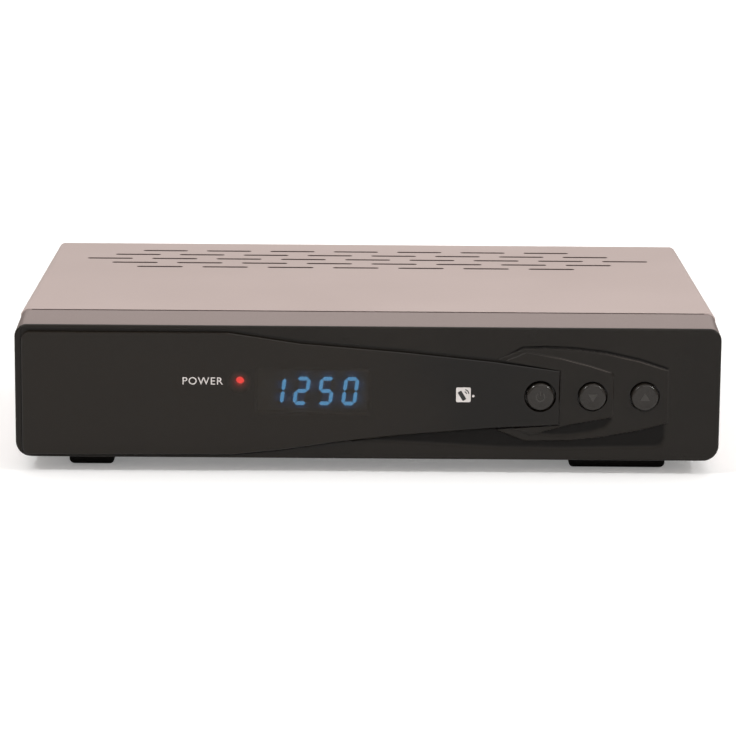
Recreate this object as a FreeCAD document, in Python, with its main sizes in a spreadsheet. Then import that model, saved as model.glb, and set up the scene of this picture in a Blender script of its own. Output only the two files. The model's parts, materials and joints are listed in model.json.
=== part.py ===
import FreeCAD, Part
import math
import os
import re
import Sketcher

# Set-top satellite receiver: a steel tray with a folded steel cover, a moulded
# front of two pieces with a tinted display window and three push buttons, and
# inside it a mains supply, a main board with the tuner and sockets, and a front
# board with the display and keys.
# Millimetres. X to the right seen from the front, Y to the back, Z up. The origin
# is under the middle of the whole receiver, on the surface that the feet stand on.

# Driving dimensions. Each is a cell of the sheet and is written only here.
DRIVING = [
    # outside
    ("front_width", 250.0), ("front_height", 47.8), ("front_under", 5.3),
    ("side_flare", 1.75), ("lip_depth", 6.6), ("lip_rise", 4.4), ("lip_drop", 0.3),
    ("cover_depth", 148.0), ("cover_sheet", 0.6), ("cover_bend", 2.6),
    ("cover_fit", 0.2), ("seam_gap", 0.5), ("chassis_sheet", 1.0),
    ("rear_inset", 1.0), ("tray_side", 12.0), ("foot_height", 6.0),
    # vent slots in the cover
    ("vent_length", 17.7), ("vent_width", 2.8), ("vent_pitch", 25.0),
    ("vent_row_pitch", 9.45), ("vent_row_shift", 10.2), ("vent_margin", 17.6),
    ("vent_round", 1.37),
    # front: moulded frame, black face and its raised leaves
    ("corner_low", 5.6), ("corner_high", 4.4), ("bezel_wall", 2.0),
    ("bezel_fit", 0.1), ("face_edge", 1.2), ("face_round", 0.8),
    ("fascia_plate", 2.5), ("rebate_inset", 2.8), ("leaf_step", 0.5),
    ("scoop_depth", 0.8), ("shoulder_depth", 0.4), ("cove_depth", 0.4),
    ("lens_seat", 0.5), ("lens_stand", 1.5), ("lens_bevel", 0.3),
    ("lens_corner", 2.6), ("groove_top", 1.1), ("groove_low", 0.6),
    ("groove_side", 0.4), ("groove_end", 0.15),
    # push buttons
    ("cap_stand", 3.0), ("cap_radius", 4.85), ("cap_round", 0.9),
    ("cap_gap", 0.5), ("flange_lap", 1.25), ("flange_sheet", 1.0),
    ("flange_gap", 0.1), ("button_height", 23.5), ("power_inset", 63.94),
    ("button_pitch", 18.52), ("key_travel", 0.3),
    ("switch_side", 6.0), ("switch_depth", 3.5), ("plunger_radius", 1.7),
    ("plunger_gap", 0.08), ("plunger_stand", 1.5), ("plunger_sunk", 0.8),
    ("bore_spare", 0.5),
    # front board and what it carries
    ("panel_board_setback", 12.0), ("board_sheet", 1.6),
    ("panel_board_inset", 13.0), ("panel_board_low", 5.0),
    ("panel_board_high", 43.0), ("panel_board_left", 64.0),
    ("window_left", 86.0), ("window_width", 39.0), ("window_low", 17.0),
    ("window_high", 32.0), ("module_depth", 8.0), ("module_margin", 0.4),
    ("digit_height", 10.2), ("digit_width", 5.3), ("digit_pitch", 8.6),
    ("digit_left", 93.1), ("digit_low", 18.7), ("segment_width", 1.1),
    ("segment_sheet", 0.2), ("segment_gap", 0.66), ("led_left", 79.75), ("led_height", 28.0),
    ("led_radius", 1.5), ("led_window", 1.8), ("led_length", 9.4),
    ("sensor_share", 0.62), ("sensor_width", 6.0), ("sensor_height", 7.0),
    ("sensor_depth", 5.0), ("sensor_level", 23.1), ("sensor_window", 3.2),
    ("boss_radius", 3.0), ("boss_inset", 6.0),
    # screws
    ("screw_radius", 1.45), ("screw_head", 2.8), ("screw_head_height", 1.6),
    ("screw_reach", 4.0), ("screw_gap", 0.15), ("thread_gap", 0.05),
    ("cover_screw_low", 7.0), ("cover_screw_inset", 24.0),
    # boards on the tray
    ("standoff_height", 5.0), ("standoff_radius", 3.2), ("board_hole_inset", 5.0),
    ("supply_margin", 4.0), ("supply_width", 52.0), ("supply_depth", 86.0),
    ("supply_setback", 24.0), ("board_gap", 6.0), ("main_margin", 4.0),
    ("main_depth", 106.0), ("main_setback", 1.0), ("main_hole_setback", 20.0),
    # tuner and its two threaded sockets
    ("tuner_width", 46.0), ("tuner_depth", 45.0), ("tuner_height", 17.0),
    ("tuner_sheet", 0.6), ("tuner_margin", 13.5), ("barrel_inset", 22.0),
    ("barrel_pitch", 22.0), ("barrel_radius", 4.76), ("barrel_bore", 3.4),
    ("barrel_stand", 11.0), ("barrel_floor", 3.0), ("barrel_level", 8.5),
    ("barrel_root", 4.5), ("barrel_step", 1.0), ("thread_relief", 0.4), ("contact_floor", 1.0),
    ("panel_gap", 0.24), ("nut_across", 11.0), ("nut_height", 2.4),
    ("contact_hole", 0.6), ("contact_recess", 0.8),
    # other sockets on the main board
    ("scart_inset", 84.0), ("scart_width", 47.0), ("scart_height", 15.0),
    ("scart_depth", 20.0), ("scart_stand", 1.5), ("scart_wall", 1.4),
    ("scart_cavity", 11.0), ("scart_block", 3.4), ("scart_block_side", 2.5),
    ("scart_block_setback", 1.0),
    ("hdmi_pitch", 36.0), ("hdmi_width", 15.0), ("hdmi_height", 5.6),
    ("hdmi_depth", 12.0), ("hdmi_stand", 1.0), ("shell_sheet", 0.4),
    ("usb_pitch", 20.0), ("usb_width", 13.2), ("usb_height", 5.8),
    ("usb_depth", 13.0), ("tongue_sheet", 1.3), ("tongue_side", 1.5),
    ("tongue_setback", 2.0), ("tongue_base", 2.0), ("base_gap", 0.2),
    ("audio_pitch", 20.0), ("audio_width", 10.0), ("audio_height", 13.0),
    ("audio_depth", 11.0), ("audio_radius", 4.15), ("audio_bore", 3.1),
    ("audio_stand", 9.0), ("audio_level", 8.5), ("audio_root", 3.9),
    ("audio_seat", 3.0), ("audio_step", 0.5), ("socket_gap", 0.25),
    # chips on the main board
    ("chip_side", 27.0), ("chip_height", 2.2), ("chip_left", 62.0),
    ("chip_front", 44.0), ("sink_base", 2.0), ("sink_height", 12.0),
    ("sink_fin", 1.0), ("sink_margin", 1.0), ("memory_width", 12.0),
    ("memory_depth", 9.0), ("memory_height", 1.2), ("memory_gap", 7.0),
    ("main_can_radius", 4.0), ("main_can_height", 12.0), ("main_can_pitch", 11.0),
    ("main_can_front", 12.0), ("main_can_left", 86.0),
    # supply board parts
    ("transformer_width", 28.0), ("transformer_depth", 24.0),
    ("transformer_height", 20.0), ("transformer_left", 13.0),
    ("transformer_front", 34.0), ("core_sheet", 5.0), ("coil_margin", 4.0),
    ("coil_drop", 4.0), ("mains_can_radius", 9.0),
    ("mains_can_height", 27.0), ("mains_can_left", 12.0),
    ("mains_can_front", 71.0), ("supply_can_radius", 4.0),
    ("supply_can_height", 16.0), ("supply_can_pitch", 10.5),
    ("supply_can_left", 12.0), ("supply_can_front", 9.0), ("choke_width", 14.0), ("choke_depth", 12.0),
    ("choke_height", 14.0), ("choke_left", 26.0), ("choke_front", 64.0),
    ("fuse_radius", 2.6), ("fuse_length", 20.0), ("fuse_left", 47.0),
    ("fuse_front", 56.0), ("fuse_level", 5.0), ("fuse_cap", 5.0),
    ("clip_width", 3.0),
    ("fin_width", 34.0), ("fin_sheet", 2.0), ("fin_height", 22.0),
    ("fin_left", 9.0), ("fin_front", 22.0), ("fin_foot", 9.0),
    # mains inlet and rocker switch on the rear wall
    ("inlet_inset", 46.0), ("mains_level", 22.0), ("inlet_width", 20.0),
    ("inlet_height", 12.0), ("inlet_depth", 18.0), ("inlet_flange", 1.6),
    ("inlet_rim", 2.2), ("inlet_cavity", 13.0), ("cavity_width", 15.0),
    ("cavity_height", 8.4), ("pin_radius", 1.15), ("pin_half_pitch", 4.3),
    ("pin_length", 9.0), ("rocker_inset", 18.0), ("rocker_width", 10.0),
    ("rocker_length", 15.6), ("rocker_root", 3.2), ("rocker_root_half", 3.0),
    ("rocker_waist", 3.4), ("rocker_shoulder", 5.9), ("rocker_face", 6.7),
    ("rocker_high", 8.2), ("rocker_side", 1.4), ("rocker_high_end", 1.8),
    ("rocker_low_end", 1.0),
    ("rocker_gap", 0.3), ("housing_width", 13.0), ("housing_height", 19.2),
    ("housing_depth", 16.0), ("housing_floor", 2.0), ("housing_rim_side", 1.0),
    ("housing_rim", 1.2), ("rocker_axle", 1.2), ("axle_setback", 5.4),
    ("axle_gap", 0.06), ("axle_skin", 0.5), ("terminal_length", 5.0),
    ("terminal_sheet", 0.8), ("terminal_width", 4.8), ("terminal_shift", 5.0),
    ("wire_radius", 1.0), ("wire_bend", 4.0), ("wire_inset", 3.0),
    # flat cables
    ("ribbon_sheet", 0.9), ("ribbon_width", 20.0), ("ribbon_left", 84.0),
    ("header_depth", 5.0), ("header_height", 7.0), ("header_margin", 2.0),
    ("panel_header_low", 8.0), ("main_header_front", 6.0), ("ribbon_bend", 3.0),
    ("ribbon_crest", 5.0), ("ribbon_ease", 1.0),
    ("link_width", 12.0), ("link_front", 12.0), ("link_rise", 6.0),
    ("link_inset", 4.0), ("link_bend", 1.5), ("link_corner", 2.0),
    # how far a cutting shape runs past the solid that it cuts
    ("past", 2.0),
    # feet
    ("foot_narrow", 16.1), ("foot_wide", 34.5), ("foot_depth", 14.0),
    ("foot_round", 2.4), ("foot_side", 18.1), ("foot_front", 11.0),
    ("foot_rear", 12.0),
]

# Places and sizes worked out from the driving dimensions.
DERIVED = [
    ("cap_hole", "cap_radius + cap_gap"),
    ("cap_flange", "cap_hole + flange_lap"),
    ("y_front", "cap_stand - (cap_stand + lip_depth + cover_depth + barrel_stand"
                " - rear_inset) / 2"),
    ("y_seam", "y_front + lip_depth"),
    ("y_rear", "y_seam + cover_depth"),
    ("y_wall", "y_rear - rear_inset"),
    ("y_inner", "y_wall - chassis_sheet"),
    ("y_plate", "y_front + fascia_plate"),
    ("y_panel", "y_front + panel_board_setback"),
    ("z_high", "front_under + front_height"),
    ("z_top", "z_high + lip_rise"),
    ("z_deck", "foot_height + chassis_sheet"),
    ("z_board", "z_deck + standoff_height"),
    ("z_main", "z_board + board_sheet"),
    ("x_edge", "front_width / 2"),
    ("x_cover", "x_edge - side_flare"),
    ("x_tray", "x_cover - cover_sheet - cover_fit"),
    ("x_supply", "supply_margin - x_tray"),
    ("x_main", "x_supply + supply_width + board_gap"),
    ("x_main_end", "x_tray - main_margin"),
    ("y_main", "y_inner - main_setback - main_depth"),
    ("y_supply", "y_inner - supply_setback - supply_depth"),
    ("z_button", "front_under + button_height"),
    ("x_power", "x_edge - power_inset"),
    ("x_down", "x_power + button_pitch"),
    ("x_up", "x_down + button_pitch"),
    ("y_flange", "y_plate + flange_gap"),
    ("y_switch", "y_panel - switch_depth"),
    ("y_plunger", "y_switch - plunger_stand"),
    ("x_window", "window_left - x_edge"),
    ("z_window", "front_under + window_low"),
    ("x_window_end", "x_window + window_width"),
    ("z_window_end", "front_under + window_high"),
    ("x_sensor", "x_window_end + sensor_share * (x_power - cap_flange - x_window_end)"),
    ("z_sensor", "front_under + sensor_level"),
    ("x_led", "led_left - x_edge"),
    ("z_led", "front_under + led_height"),
    ("x_panel", "panel_board_left - x_edge"),
    ("x_panel_end", "x_edge - panel_board_inset"),
    ("z_panel", "front_under + panel_board_low"),
    ("z_panel_end", "front_under + panel_board_high"),
    ("x_barrel", "x_tray - barrel_inset"),
    ("x_barrel_out", "x_barrel - barrel_pitch"),
    ("z_barrel", "z_main + barrel_level"),
    ("x_tuner", "x_tray - tuner_margin - tuner_width"),
    ("x_scart", "x_tray - scart_inset"),
    ("x_hdmi", "x_scart - hdmi_pitch"),
    ("x_usb", "x_hdmi - usb_pitch"),
    ("x_audio", "x_usb - audio_pitch"),
    ("z_audio", "z_main + audio_level"),
    ("x_inlet", "inlet_inset - x_tray"),
    ("x_rocker", "rocker_inset - x_tray"),
    ("z_mains", "z_deck + mains_level"),
    ("x_chip", "x_main + chip_left"),
    ("y_chip", "y_main + chip_front"),
    ("x_ribbon", "ribbon_left - x_edge"),
    ("x_foot", "x_edge - foot_side"),
    ("y_foot", "y_front + foot_front"),
    ("y_foot_rear", "y_rear - foot_rear - foot_depth"),
    ("rocker_bore", "rocker_axle + axle_gap"),
]

doc = FreeCAD.newDocument("satellite_receiver")
home = {}
nodes = []


def fill(sheet, rows):
    """Write the rows into a sheet, one named cell each."""
    for row, (name, cell) in enumerate(rows, 1):
        sheet.set(f"A{row}", name)
        sheet.set(f"B{row}", cell if isinstance(cell, str) else str(cell))
        sheet.setAlias(f"B{row}", name)
        home[name] = sheet.Name + "."


def full(formula):
    """Put the sheet's name before each named cell in a formula."""
    return re.sub(r"[a-z][a-z0-9_]*", lambda word: home.get(word.group(), "") + word.group(),
                  str(formula))


def bind(thing, path, formula):
    """Tie a property to a formula on the sheets."""
    thing.setExpression(path, full(formula))


def number(formula):
    """Work a formula out as it stands now."""
    return float(dims.evalExpression(full(formula)))


dims = doc.addObject("Spreadsheet::Sheet", "dims")
fill(dims, DRIVING)
places = doc.addObject("Spreadsheet::Sheet", "places")
fill(places, [(name, "") for name, formula in DERIVED])
for place_row, (place_name, place_formula) in enumerate(DERIVED, 1):
    places.set(f"B{place_row}", "=" + full(place_formula).replace("places.", ""))
doc.recompute()


def node(label, thing):
    """Name a finished sub-part."""
    thing.Label = label
    nodes.append(thing)
    return thing


def vector(x, y, z=0.0):
    """A vector from three numbers."""
    return FreeCAD.Vector(x, y, z)


# Part primitives

def put(thing, x, y, z):
    """Tie a primitive's place to three formulas."""
    for axis, formula in zip("xyz", (x, y, z)):
        bind(thing, f"Placement.Base.{axis}", formula)
    return thing


def box(size, at):
    """A block of a given size whose lowest corner is at a given place."""
    block = doc.addObject("Part::Box", "block")
    for side, formula in zip(("Length", "Width", "Height"), size):
        bind(block, side, formula)
    return put(block, *at)


TURNS = {"x": ((0, 1, 0), 90), "y": ((1, 0, 0), -90), "z": ((0, 0, 1), 0)}


def rod(radius, length, at, axis="y"):
    """A cylinder that starts at a place and runs along an axis."""
    bar = doc.addObject("Part::Cylinder", "bar")
    turn, angle = TURNS[axis]
    bar.Placement = FreeCAD.Placement(vector(0, 0, 0), FreeCAD.Rotation(vector(*turn), angle))
    bind(bar, "Radius", radius)
    bind(bar, "Height", length)
    return put(bar, *at)


def fuse(things):
    """One solid, or several apart, from things that are joined."""
    whole = doc.addObject("Part::MultiFuse", "joined")
    whole.Shapes = things
    return whole


def cut(base, tools):
    """A thing with others cut out of it."""
    rest = doc.addObject("Part::Cut", "cut")
    rest.Base = base
    rest.Tool = tools[0] if len(tools) == 1 else fuse(tools)
    return rest


def together(things):
    """Separate solids kept as one group."""
    group = doc.addObject("Part::Compound", "group")
    group.Links = things
    return group


def screw(at, axis, sense, reach="screw_reach"):
    """A pan head screw: its head stands out from a place and its shank goes in."""
    index = "xyz".index(axis)
    head_at = list(at)
    shank_at = list(at)
    if sense > 0:
        shank_at[index] = f"{at[index]} - {reach}"
    else:
        head_at[index] = f"{at[index]} - screw_head_height"
    head = rod("screw_head", "screw_head_height", head_at, axis)
    shank = rod("screw_radius", reach, shank_at, axis)
    return fuse([head, shank])


# Bodies with sketches

VIEWS = {"front": ("XZ_Plane", "-1"), "top": ("XY_Plane", "1"), "side": ("YZ_Plane", "1")}


def body(label):
    """Start a body that is one sub-part."""
    return node(label, doc.addObject("PartDesign::Body", label))


def sketch(solid, view, at):
    """Start a sketch that faces the front, the top or the right side, at a given place."""
    role, sense = VIEWS[view]
    drawing = solid.newObject("Sketcher::SketchObject", "sketch")
    plane = next(item for item in solid.Origin.OriginFeatures if item.Role == role)
    drawing.AttachmentSupport = [(plane, "")]
    drawing.MapMode = "FlatFace"
    bind(drawing, "AttachmentOffset.Base.z", f"{sense} * ({at})")
    return drawing


def fix(drawing, line, end, x, y):
    """Tie one end of a line to a place on the sketch."""
    for kind, formula in (("DistanceX", x), ("DistanceY", y)):
        rule = Sketcher.Constraint(kind, -1, 1, line, end, number(formula))
        bind(drawing, f"Constraints[{drawing.addConstraint(rule)}]", formula)


def outline(drawing, corners):
    """A closed outline of straight lines through the corners."""
    points = [vector(number(x), number(y)) for x, y in corners]
    count = len(corners)
    lines = [drawing.addGeometry(Part.LineSegment(points[i], points[(i + 1) % count]), False)
             for i in range(count)]
    for i, line in enumerate(lines):
        drawing.addConstraint(Sketcher.Constraint("Coincident", line, 2, lines[(i + 1) % count], 1))
        fix(drawing, line, 1, *corners[i])


def rectangle(drawing, left, low, right, high):
    """A rectangle between two corners."""
    outline(drawing, [(left, low), (right, low), (right, high), (left, high)])


def rounded(drawing, left, low, right, high, low_radius, high_radius):
    """A rectangle with one corner radius below and one above."""
    left, low, right, high = (f"({side})" for side in (left, low, right, high))
    rl, rh = f"({low_radius})", f"({high_radius})"
    ends = [((f"{left} + {rl}", low), (f"{right} - {rl}", low)),
            ((right, f"{low} + {rl}"), (right, f"{high} - {rh}")),
            ((f"{right} - {rh}", high), (f"{left} + {rh}", high)),
            ((left, f"{high} - {rh}"), (left, f"{low} + {rl}"))]
    lines = []
    for start, stop in ends:
        first = vector(number(start[0]), number(start[1]))
        last = vector(number(stop[0]), number(stop[1]))
        lines.append(drawing.addGeometry(Part.LineSegment(first, last), False))
    centres = [(f"{right} - {rl}", f"{low} + {rl}", rl, -90),
               (f"{right} - {rh}", f"{high} - {rh}", rh, 0),
               (f"{left} + {rh}", f"{high} - {rh}", rh, 90),
               (f"{left} + {rl}", f"{low} + {rl}", rl, 180)]
    for i, (x, y, radius, start) in enumerate(centres):
        ring = Part.Circle(vector(number(x), number(y)), vector(0, 0, 1), number(radius))
        quarter = Part.ArcOfCircle(ring, math.radians(start), math.radians(start + 90))
        arc = drawing.addGeometry(quarter, False)
        drawing.addConstraint(Sketcher.Constraint("Coincident", arc, 1, lines[i], 2))
        drawing.addConstraint(Sketcher.Constraint("Coincident", arc, 2, lines[(i + 1) % 4], 1))
        rule = drawing.addConstraint(Sketcher.Constraint("Radius", arc, number(radius)))
        bind(drawing, f"Constraints[{rule}]", radius)
    for line, (start, stop) in zip(lines, ends):
        fix(drawing, line, 1, *start)
        fix(drawing, line, 2, *stop)


def circle(drawing, x, y, radius):
    """A full circle about a place."""
    ring = Part.Circle(vector(number(x), number(y)), vector(0, 0, 1), number(radius))
    line = drawing.addGeometry(ring, False)
    fix(drawing, line, 3, x, y)
    rule = drawing.addConstraint(Sketcher.Constraint("Radius", line, number(radius)))
    bind(drawing, f"Constraints[{rule}]", radius)


def pad(solid, drawing, length, backwards=False, taper=0.0):
    """Add material from a sketch: forwards along its normal, or backwards."""
    feature = solid.newObject("PartDesign::Pad", "pad")
    feature.Profile = drawing
    feature.Reversed = backwards
    feature.TaperAngle = taper
    bind(feature, "Length", length)
    return feature


def pocket(solid, drawing, length, backwards=False):
    """Cut from a sketch into the solid, against the sketch's normal or along it."""
    feature = solid.newObject("PartDesign::Pocket", "pocket")
    feature.Profile = drawing
    feature.Reversed = backwards
    bind(feature, "Length", length)
    return feature


def loft(solid, kind, drawings):
    """Add or cut a straight-sided loft between two sketches."""
    feature = solid.newObject(kind, "loft")
    feature.Profile = drawings[0]
    feature.Sections = drawings[1:]
    feature.Ruled = True
    return feature


def soften(solid, kind, size, wanted):
    """Round or bevel the edges of the newest feature that a test picks."""
    doc.recompute()
    base = solid.Tip
    picked = [f"Edge{i}" for i, edge in enumerate(base.Shape.Edges, 1) if wanted(edge)]
    feature = solid.newObject(kind, "edge")
    feature.Base = (base, picked)
    bind(feature, "Radius" if kind.endswith("Fillet") else "Size", size)
    return feature


def on_plane(axis, formula):
    """A test for edges that lie whole in a plane across an axis."""
    level = number(formula)

    def wanted(edge):
        return all(abs(getattr(point, axis) - level) < 0.01
                   for point in edge.discretize(5))
    return wanted


def along(axis, limit):
    """A test for straight edges along an axis whose middle passes a limit test."""
    def wanted(edge):
        start, stop = edge.Vertexes[0].Point, edge.Vertexes[-1].Point
        length = (stop - start).Length
        run = abs(getattr(stop, axis) - getattr(start, axis))
        return length > 0.01 and abs(run - length) < 0.001 and limit((start + stop) * 0.5)
    return wanted


# Steel case

def make_cover():
    """Folded steel cover: a top and two sides, with rows of slots over the boards."""
    solid = body("top_cover")
    drawing = sketch(solid, "front", "y_seam + seam_gap")
    rounded(drawing, "-x_cover", "foot_height", "x_cover", "z_top", "0.3", "cover_bend")
    pad(solid, drawing, "cover_depth - seam_gap", backwards=True)
    hollow = sketch(solid, "front", "y_seam + seam_gap")
    rounded(hollow, "cover_sheet - x_cover", "foot_height - past", "x_cover - cover_sheet",
            "z_top - cover_sheet", "0.3", "cover_bend - cover_sheet")
    pocket(solid, hollow, "cover_depth + past")
    doc.recompute()
    for row in range(5):
        away = abs(row - 2)
        cut_vent_row(solid, row, away, 9 - away)
    holes = sketch(solid, "side", "x_cover + past")
    for y in ("y_seam + cover_screw_inset", "y_rear - cover_screw_inset"):
        circle(holes, y, "foot_height + cover_screw_low", "screw_radius + screw_gap")
    pocket(solid, holes, "front_width + 2 * past")


def cut_vent_row(solid, row, away, count):
    """One row of round-ended slots: the first is cut and then repeated."""
    y = f"y_rear - vent_margin - {row} * vent_row_pitch"
    left = f"-4 * vent_pitch - vent_length / 2 + {away} * vent_row_shift"
    drawing = sketch(solid, "top", "z_top + past")
    half = "vent_width / 2"
    rounded(drawing, left, f"{y} - {half}", f"{left} + vent_length", f"{y} + {half}",
            "vent_round", "vent_round")
    slot = pocket(solid, drawing, "cover_sheet + 2 * past")
    doc.recompute()
    row_of_slots = solid.newObject("PartDesign::LinearPattern", "row")
    row_of_slots.Originals = [slot]
    row_of_slots.Direction = (drawing, ["H_Axis"])
    row_of_slots.Occurrences = count
    bind(row_of_slots, "Length", f"{count - 1} * vent_pitch")
    solid.Tip = row_of_slots
    doc.recompute()


def board_holes(left, front, width, depth):
    """The four fixing holes of a board, an inset in from its corners."""
    inset = "board_hole_inset"
    return [(f"{left} + {x}", f"{front} + {y}")
            for x in (inset, f"{width} - {inset}") for y in (inset, f"{depth} - {inset}")]


def main_holes():
    """Fixing holes of the main board."""
    return board_holes("x_main", "y_main", "(x_main_end - x_main)",
                       "main_depth - main_hole_setback")


def supply_holes():
    """Fixing holes of the supply board."""
    return board_holes("x_supply", "y_supply", "supply_width", "supply_depth")


def make_chassis():
    """Steel tray: floor, low sides, front flange, rear wall with its openings, standoffs."""
    solid = body("bottom_chassis")
    floor = sketch(solid, "top", "foot_height")
    rectangle(floor, "-x_tray", "y_seam", "x_tray", "y_wall")
    pad(solid, floor, "chassis_sheet")
    sides = sketch(solid, "top", "z_deck")
    rectangle(sides, "-x_tray", "y_seam", "chassis_sheet - x_tray", "y_wall")
    rectangle(sides, "x_tray - chassis_sheet", "y_seam", "x_tray", "y_wall")
    pad(solid, sides, "tray_side")
    flange = sketch(solid, "top", "z_deck")
    rectangle(flange, "chassis_sheet - x_tray", "y_seam", "x_tray - chassis_sheet",
              "y_seam + chassis_sheet")
    pad(solid, flange, "tray_side / 2")
    wall = sketch(solid, "front", "y_wall")
    crown = "z_top - cover_sheet - cover_fit"
    outline(wall, [("-x_tray", "foot_height"), ("x_tray", "foot_height"),
                   ("x_tray", f"{crown} - cover_bend"), ("x_tray - cover_bend", crown),
                   ("cover_bend - x_tray", crown), ("-x_tray", f"{crown} - cover_bend")])
    pad(solid, wall, "chassis_sheet")
    posts = sketch(solid, "top", "z_deck")
    for x, y in main_holes() + supply_holes():
        circle(posts, x, y, "standoff_radius")
    pad(solid, posts, "standoff_height")
    doc.recompute()
    openings = sketch(solid, "front", "y_wall + past")
    for x in ("x_barrel", "x_barrel_out"):
        circle(openings, x, "z_barrel", "barrel_radius + panel_gap")
    circle(openings, "x_audio", "z_audio", "audio_radius + panel_gap")
    for x, width, low, height in socket_windows():
        gap = "socket_gap"
        rectangle(openings, f"{x} - {width} / 2 - {gap}", f"{low} - {gap}",
                  f"{x} + {width} / 2 + {gap}", f"{low} + {height} + {gap}")
    pocket(solid, openings, "chassis_sheet + 2 * past", backwards=True)
    bores = sketch(solid, "top", "z_board + past")
    for x, y in main_holes() + supply_holes():
        circle(bores, x, y, "screw_radius + thread_gap")
    pocket(solid, bores, "standoff_height + past")
    holes = sketch(solid, "side", "x_tray + past")
    for y in ("y_seam + cover_screw_inset", "y_rear - cover_screw_inset"):
        circle(holes, y, "foot_height + cover_screw_low", "screw_radius + thread_gap")
    pocket(solid, holes, "front_width + 2 * past")


def socket_windows():
    """Centre, width, foot and height of each square opening in the rear wall."""
    return [("x_scart", "scart_width", "z_main", "scart_height"),
            ("x_hdmi", "hdmi_width", "z_main", "hdmi_height"),
            ("x_usb", "usb_width", "z_main", "usb_height"),
            ("x_inlet", "inlet_width", "z_mains - inlet_height / 2", "inlet_height"),
            ("x_rocker", "housing_width", "z_mains - housing_height / 2", "housing_height")]


def make_feet():
    """Four moulded feet under the tray: a narrow pair and a wide pair."""
    left, right = "-x_foot", "x_foot"
    for label, width, x, y in (
            ("front_left_foot", "foot_narrow", left, "y_foot"),
            ("front_right_foot", "foot_wide", f"{right} - foot_wide", "y_foot"),
            ("rear_left_foot", "foot_narrow", left, "y_foot_rear"),
            ("rear_right_foot", "foot_wide", f"{right} - foot_wide", "y_foot_rear")):
        solid = body(label)
        put(solid, x, y, "0")
        drawing = sketch(solid, "top", "0")
        rectangle(drawing, "0", "0", width, "foot_depth")
        pad(solid, drawing, "foot_height")
        soften(solid, "PartDesign::Fillet", "foot_round", on_plane("z", "0"))


# Moulded front

def make_bezel():
    """Painted frame round the front that narrows from the cover to the black face."""
    solid = body("front_bezel")
    inner = "(bezel_wall + bezel_fit)"
    front_outer = sketch(solid, "front", "y_front + face_edge")
    rounded(front_outer, "-x_edge", "front_under", "x_edge", "z_high", "corner_low", "corner_high")
    rear_outer = sketch(solid, "front", "y_seam")
    rounded(rear_outer, "lip_drop - x_cover", "foot_height", "x_cover - lip_drop",
            "z_top - lip_drop", "cover_bend", "cover_bend")
    loft(solid, "PartDesign::AdditiveLoft", [front_outer, rear_outer])
    front_inner = sketch(solid, "front", "y_front + face_edge")
    rounded(front_inner, f"{inner} - x_edge", f"front_under + {inner}", f"x_edge - {inner}",
            f"z_high - {inner}", f"corner_low - {inner}", f"corner_high - {inner}")
    rear_inner = sketch(solid, "front", "y_seam")
    rounded(rear_inner, f"{inner} + lip_drop - x_cover", f"foot_height + {inner}",
            f"x_cover - lip_drop - {inner}", f"z_top - lip_drop - {inner}",
            f"cover_bend - {inner}", f"cover_bend - {inner}")
    loft(solid, "PartDesign::SubtractiveLoft", [front_inner, rear_inner])


def wedge(top="0", low="0", side="0", end="0"):
    """Corners of the display window, each side moved out by its own gap, narrow at the right."""
    left = [(2.6, 1.1), (76.9, 1.6), (94.0, 3.4), (116.0, 6.7)]
    right_low = [(113.4, 9.0), (80.0, 11.8), (57.0, 13.0)]
    right_high = [(57.0, 32.5), (80.8, 35.7), (113.7, 39.0)]
    left_high = [(100.9, 41.8), (75.5, 45.5), (2.6, 45.5)]
    corners = []
    for run, edge, sign in ((left, "left", "low"), (right_low, "right", "low"),
                            (right_high, "right", "top"), (left_high, "left", "top")):
        for distance, height in run:
            if edge == "left":
                x = f"{distance} - x_edge" + (f" - {side}" if distance < 10 else "")
            else:
                x = f"x_edge - {distance}" + (f" + {end}" if distance < 60 else "")
            gap = end if edge == "right" and distance < 60 else top if sign == "top" else low
            shift = f" + {gap}" if sign == "top" else f" - {gap}"
            corners.append((x, f"front_under + {height}" + shift))
    return corners


def right_side(points):
    """Places measured in from the right edge of the front and up from its foot."""
    return [(f"x_edge - {distance}", f"front_under + {height}") for distance, height in points]


LEAF = [(80.8, 35.7), (69.9, 40.4), (62.5, 40.6), (51.9, 40.2), (40.9, 38.9), (28.8, 36.2),
        (18.5, 32.9), (18.3, 13.9), (28.2, 11.1), (42.3, 8.5), (53.0, 7.3), (69.3, 7.0),
        (81.1, 11.8)]
MIDDLE_LEAF = [(79.0, 34.9), (68.8, 39.3), (57.1, 37.3), (46.5, 34.6), (38.8, 32.2), (38.0, 30.8),
               (37.9, 17.0), (38.7, 15.7), (53.1, 13.1), (67.2, 9.2), (77.0, 13.2)]
SCOOP = [(134.0, 6.5), (77.8, 3.6), (56.5, 3.4), (22.7, 4.2), (19.6, 5.4), (18.5, 8.4),
         (18.3, 13.9), (28.2, 11.1), (42.3, 8.5), (53.0, 7.3), (69.3, 7.0), (81.1, 11.8),
         (113.4, 9.0)]
SHOULDER = [(80.8, 35.7), (70.6, 41.4), (62.5, 41.8), (51.6, 41.4), (40.5, 40.1), (28.3, 37.4),
            (18.2, 34.0), (18.5, 32.9), (28.8, 36.2), (40.9, 38.9), (51.9, 40.2), (62.5, 40.6),
            (69.9, 40.4)]
COVE = [(66.5, 9.4), (53.1, 13.1), (38.7, 15.7), (37.6, 14.6), (40.6, 11.4), (47.0, 9.4),
        (54.0, 8.6), (60.0, 8.4)]


def panel_bosses():
    """Places of the four posts that carry the front board."""
    return [(x, z) for x in ("x_panel + boss_inset", "x_panel_end - boss_inset")
            for z in ("z_panel + boss_inset", "z_panel_end - boss_inset")]


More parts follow.
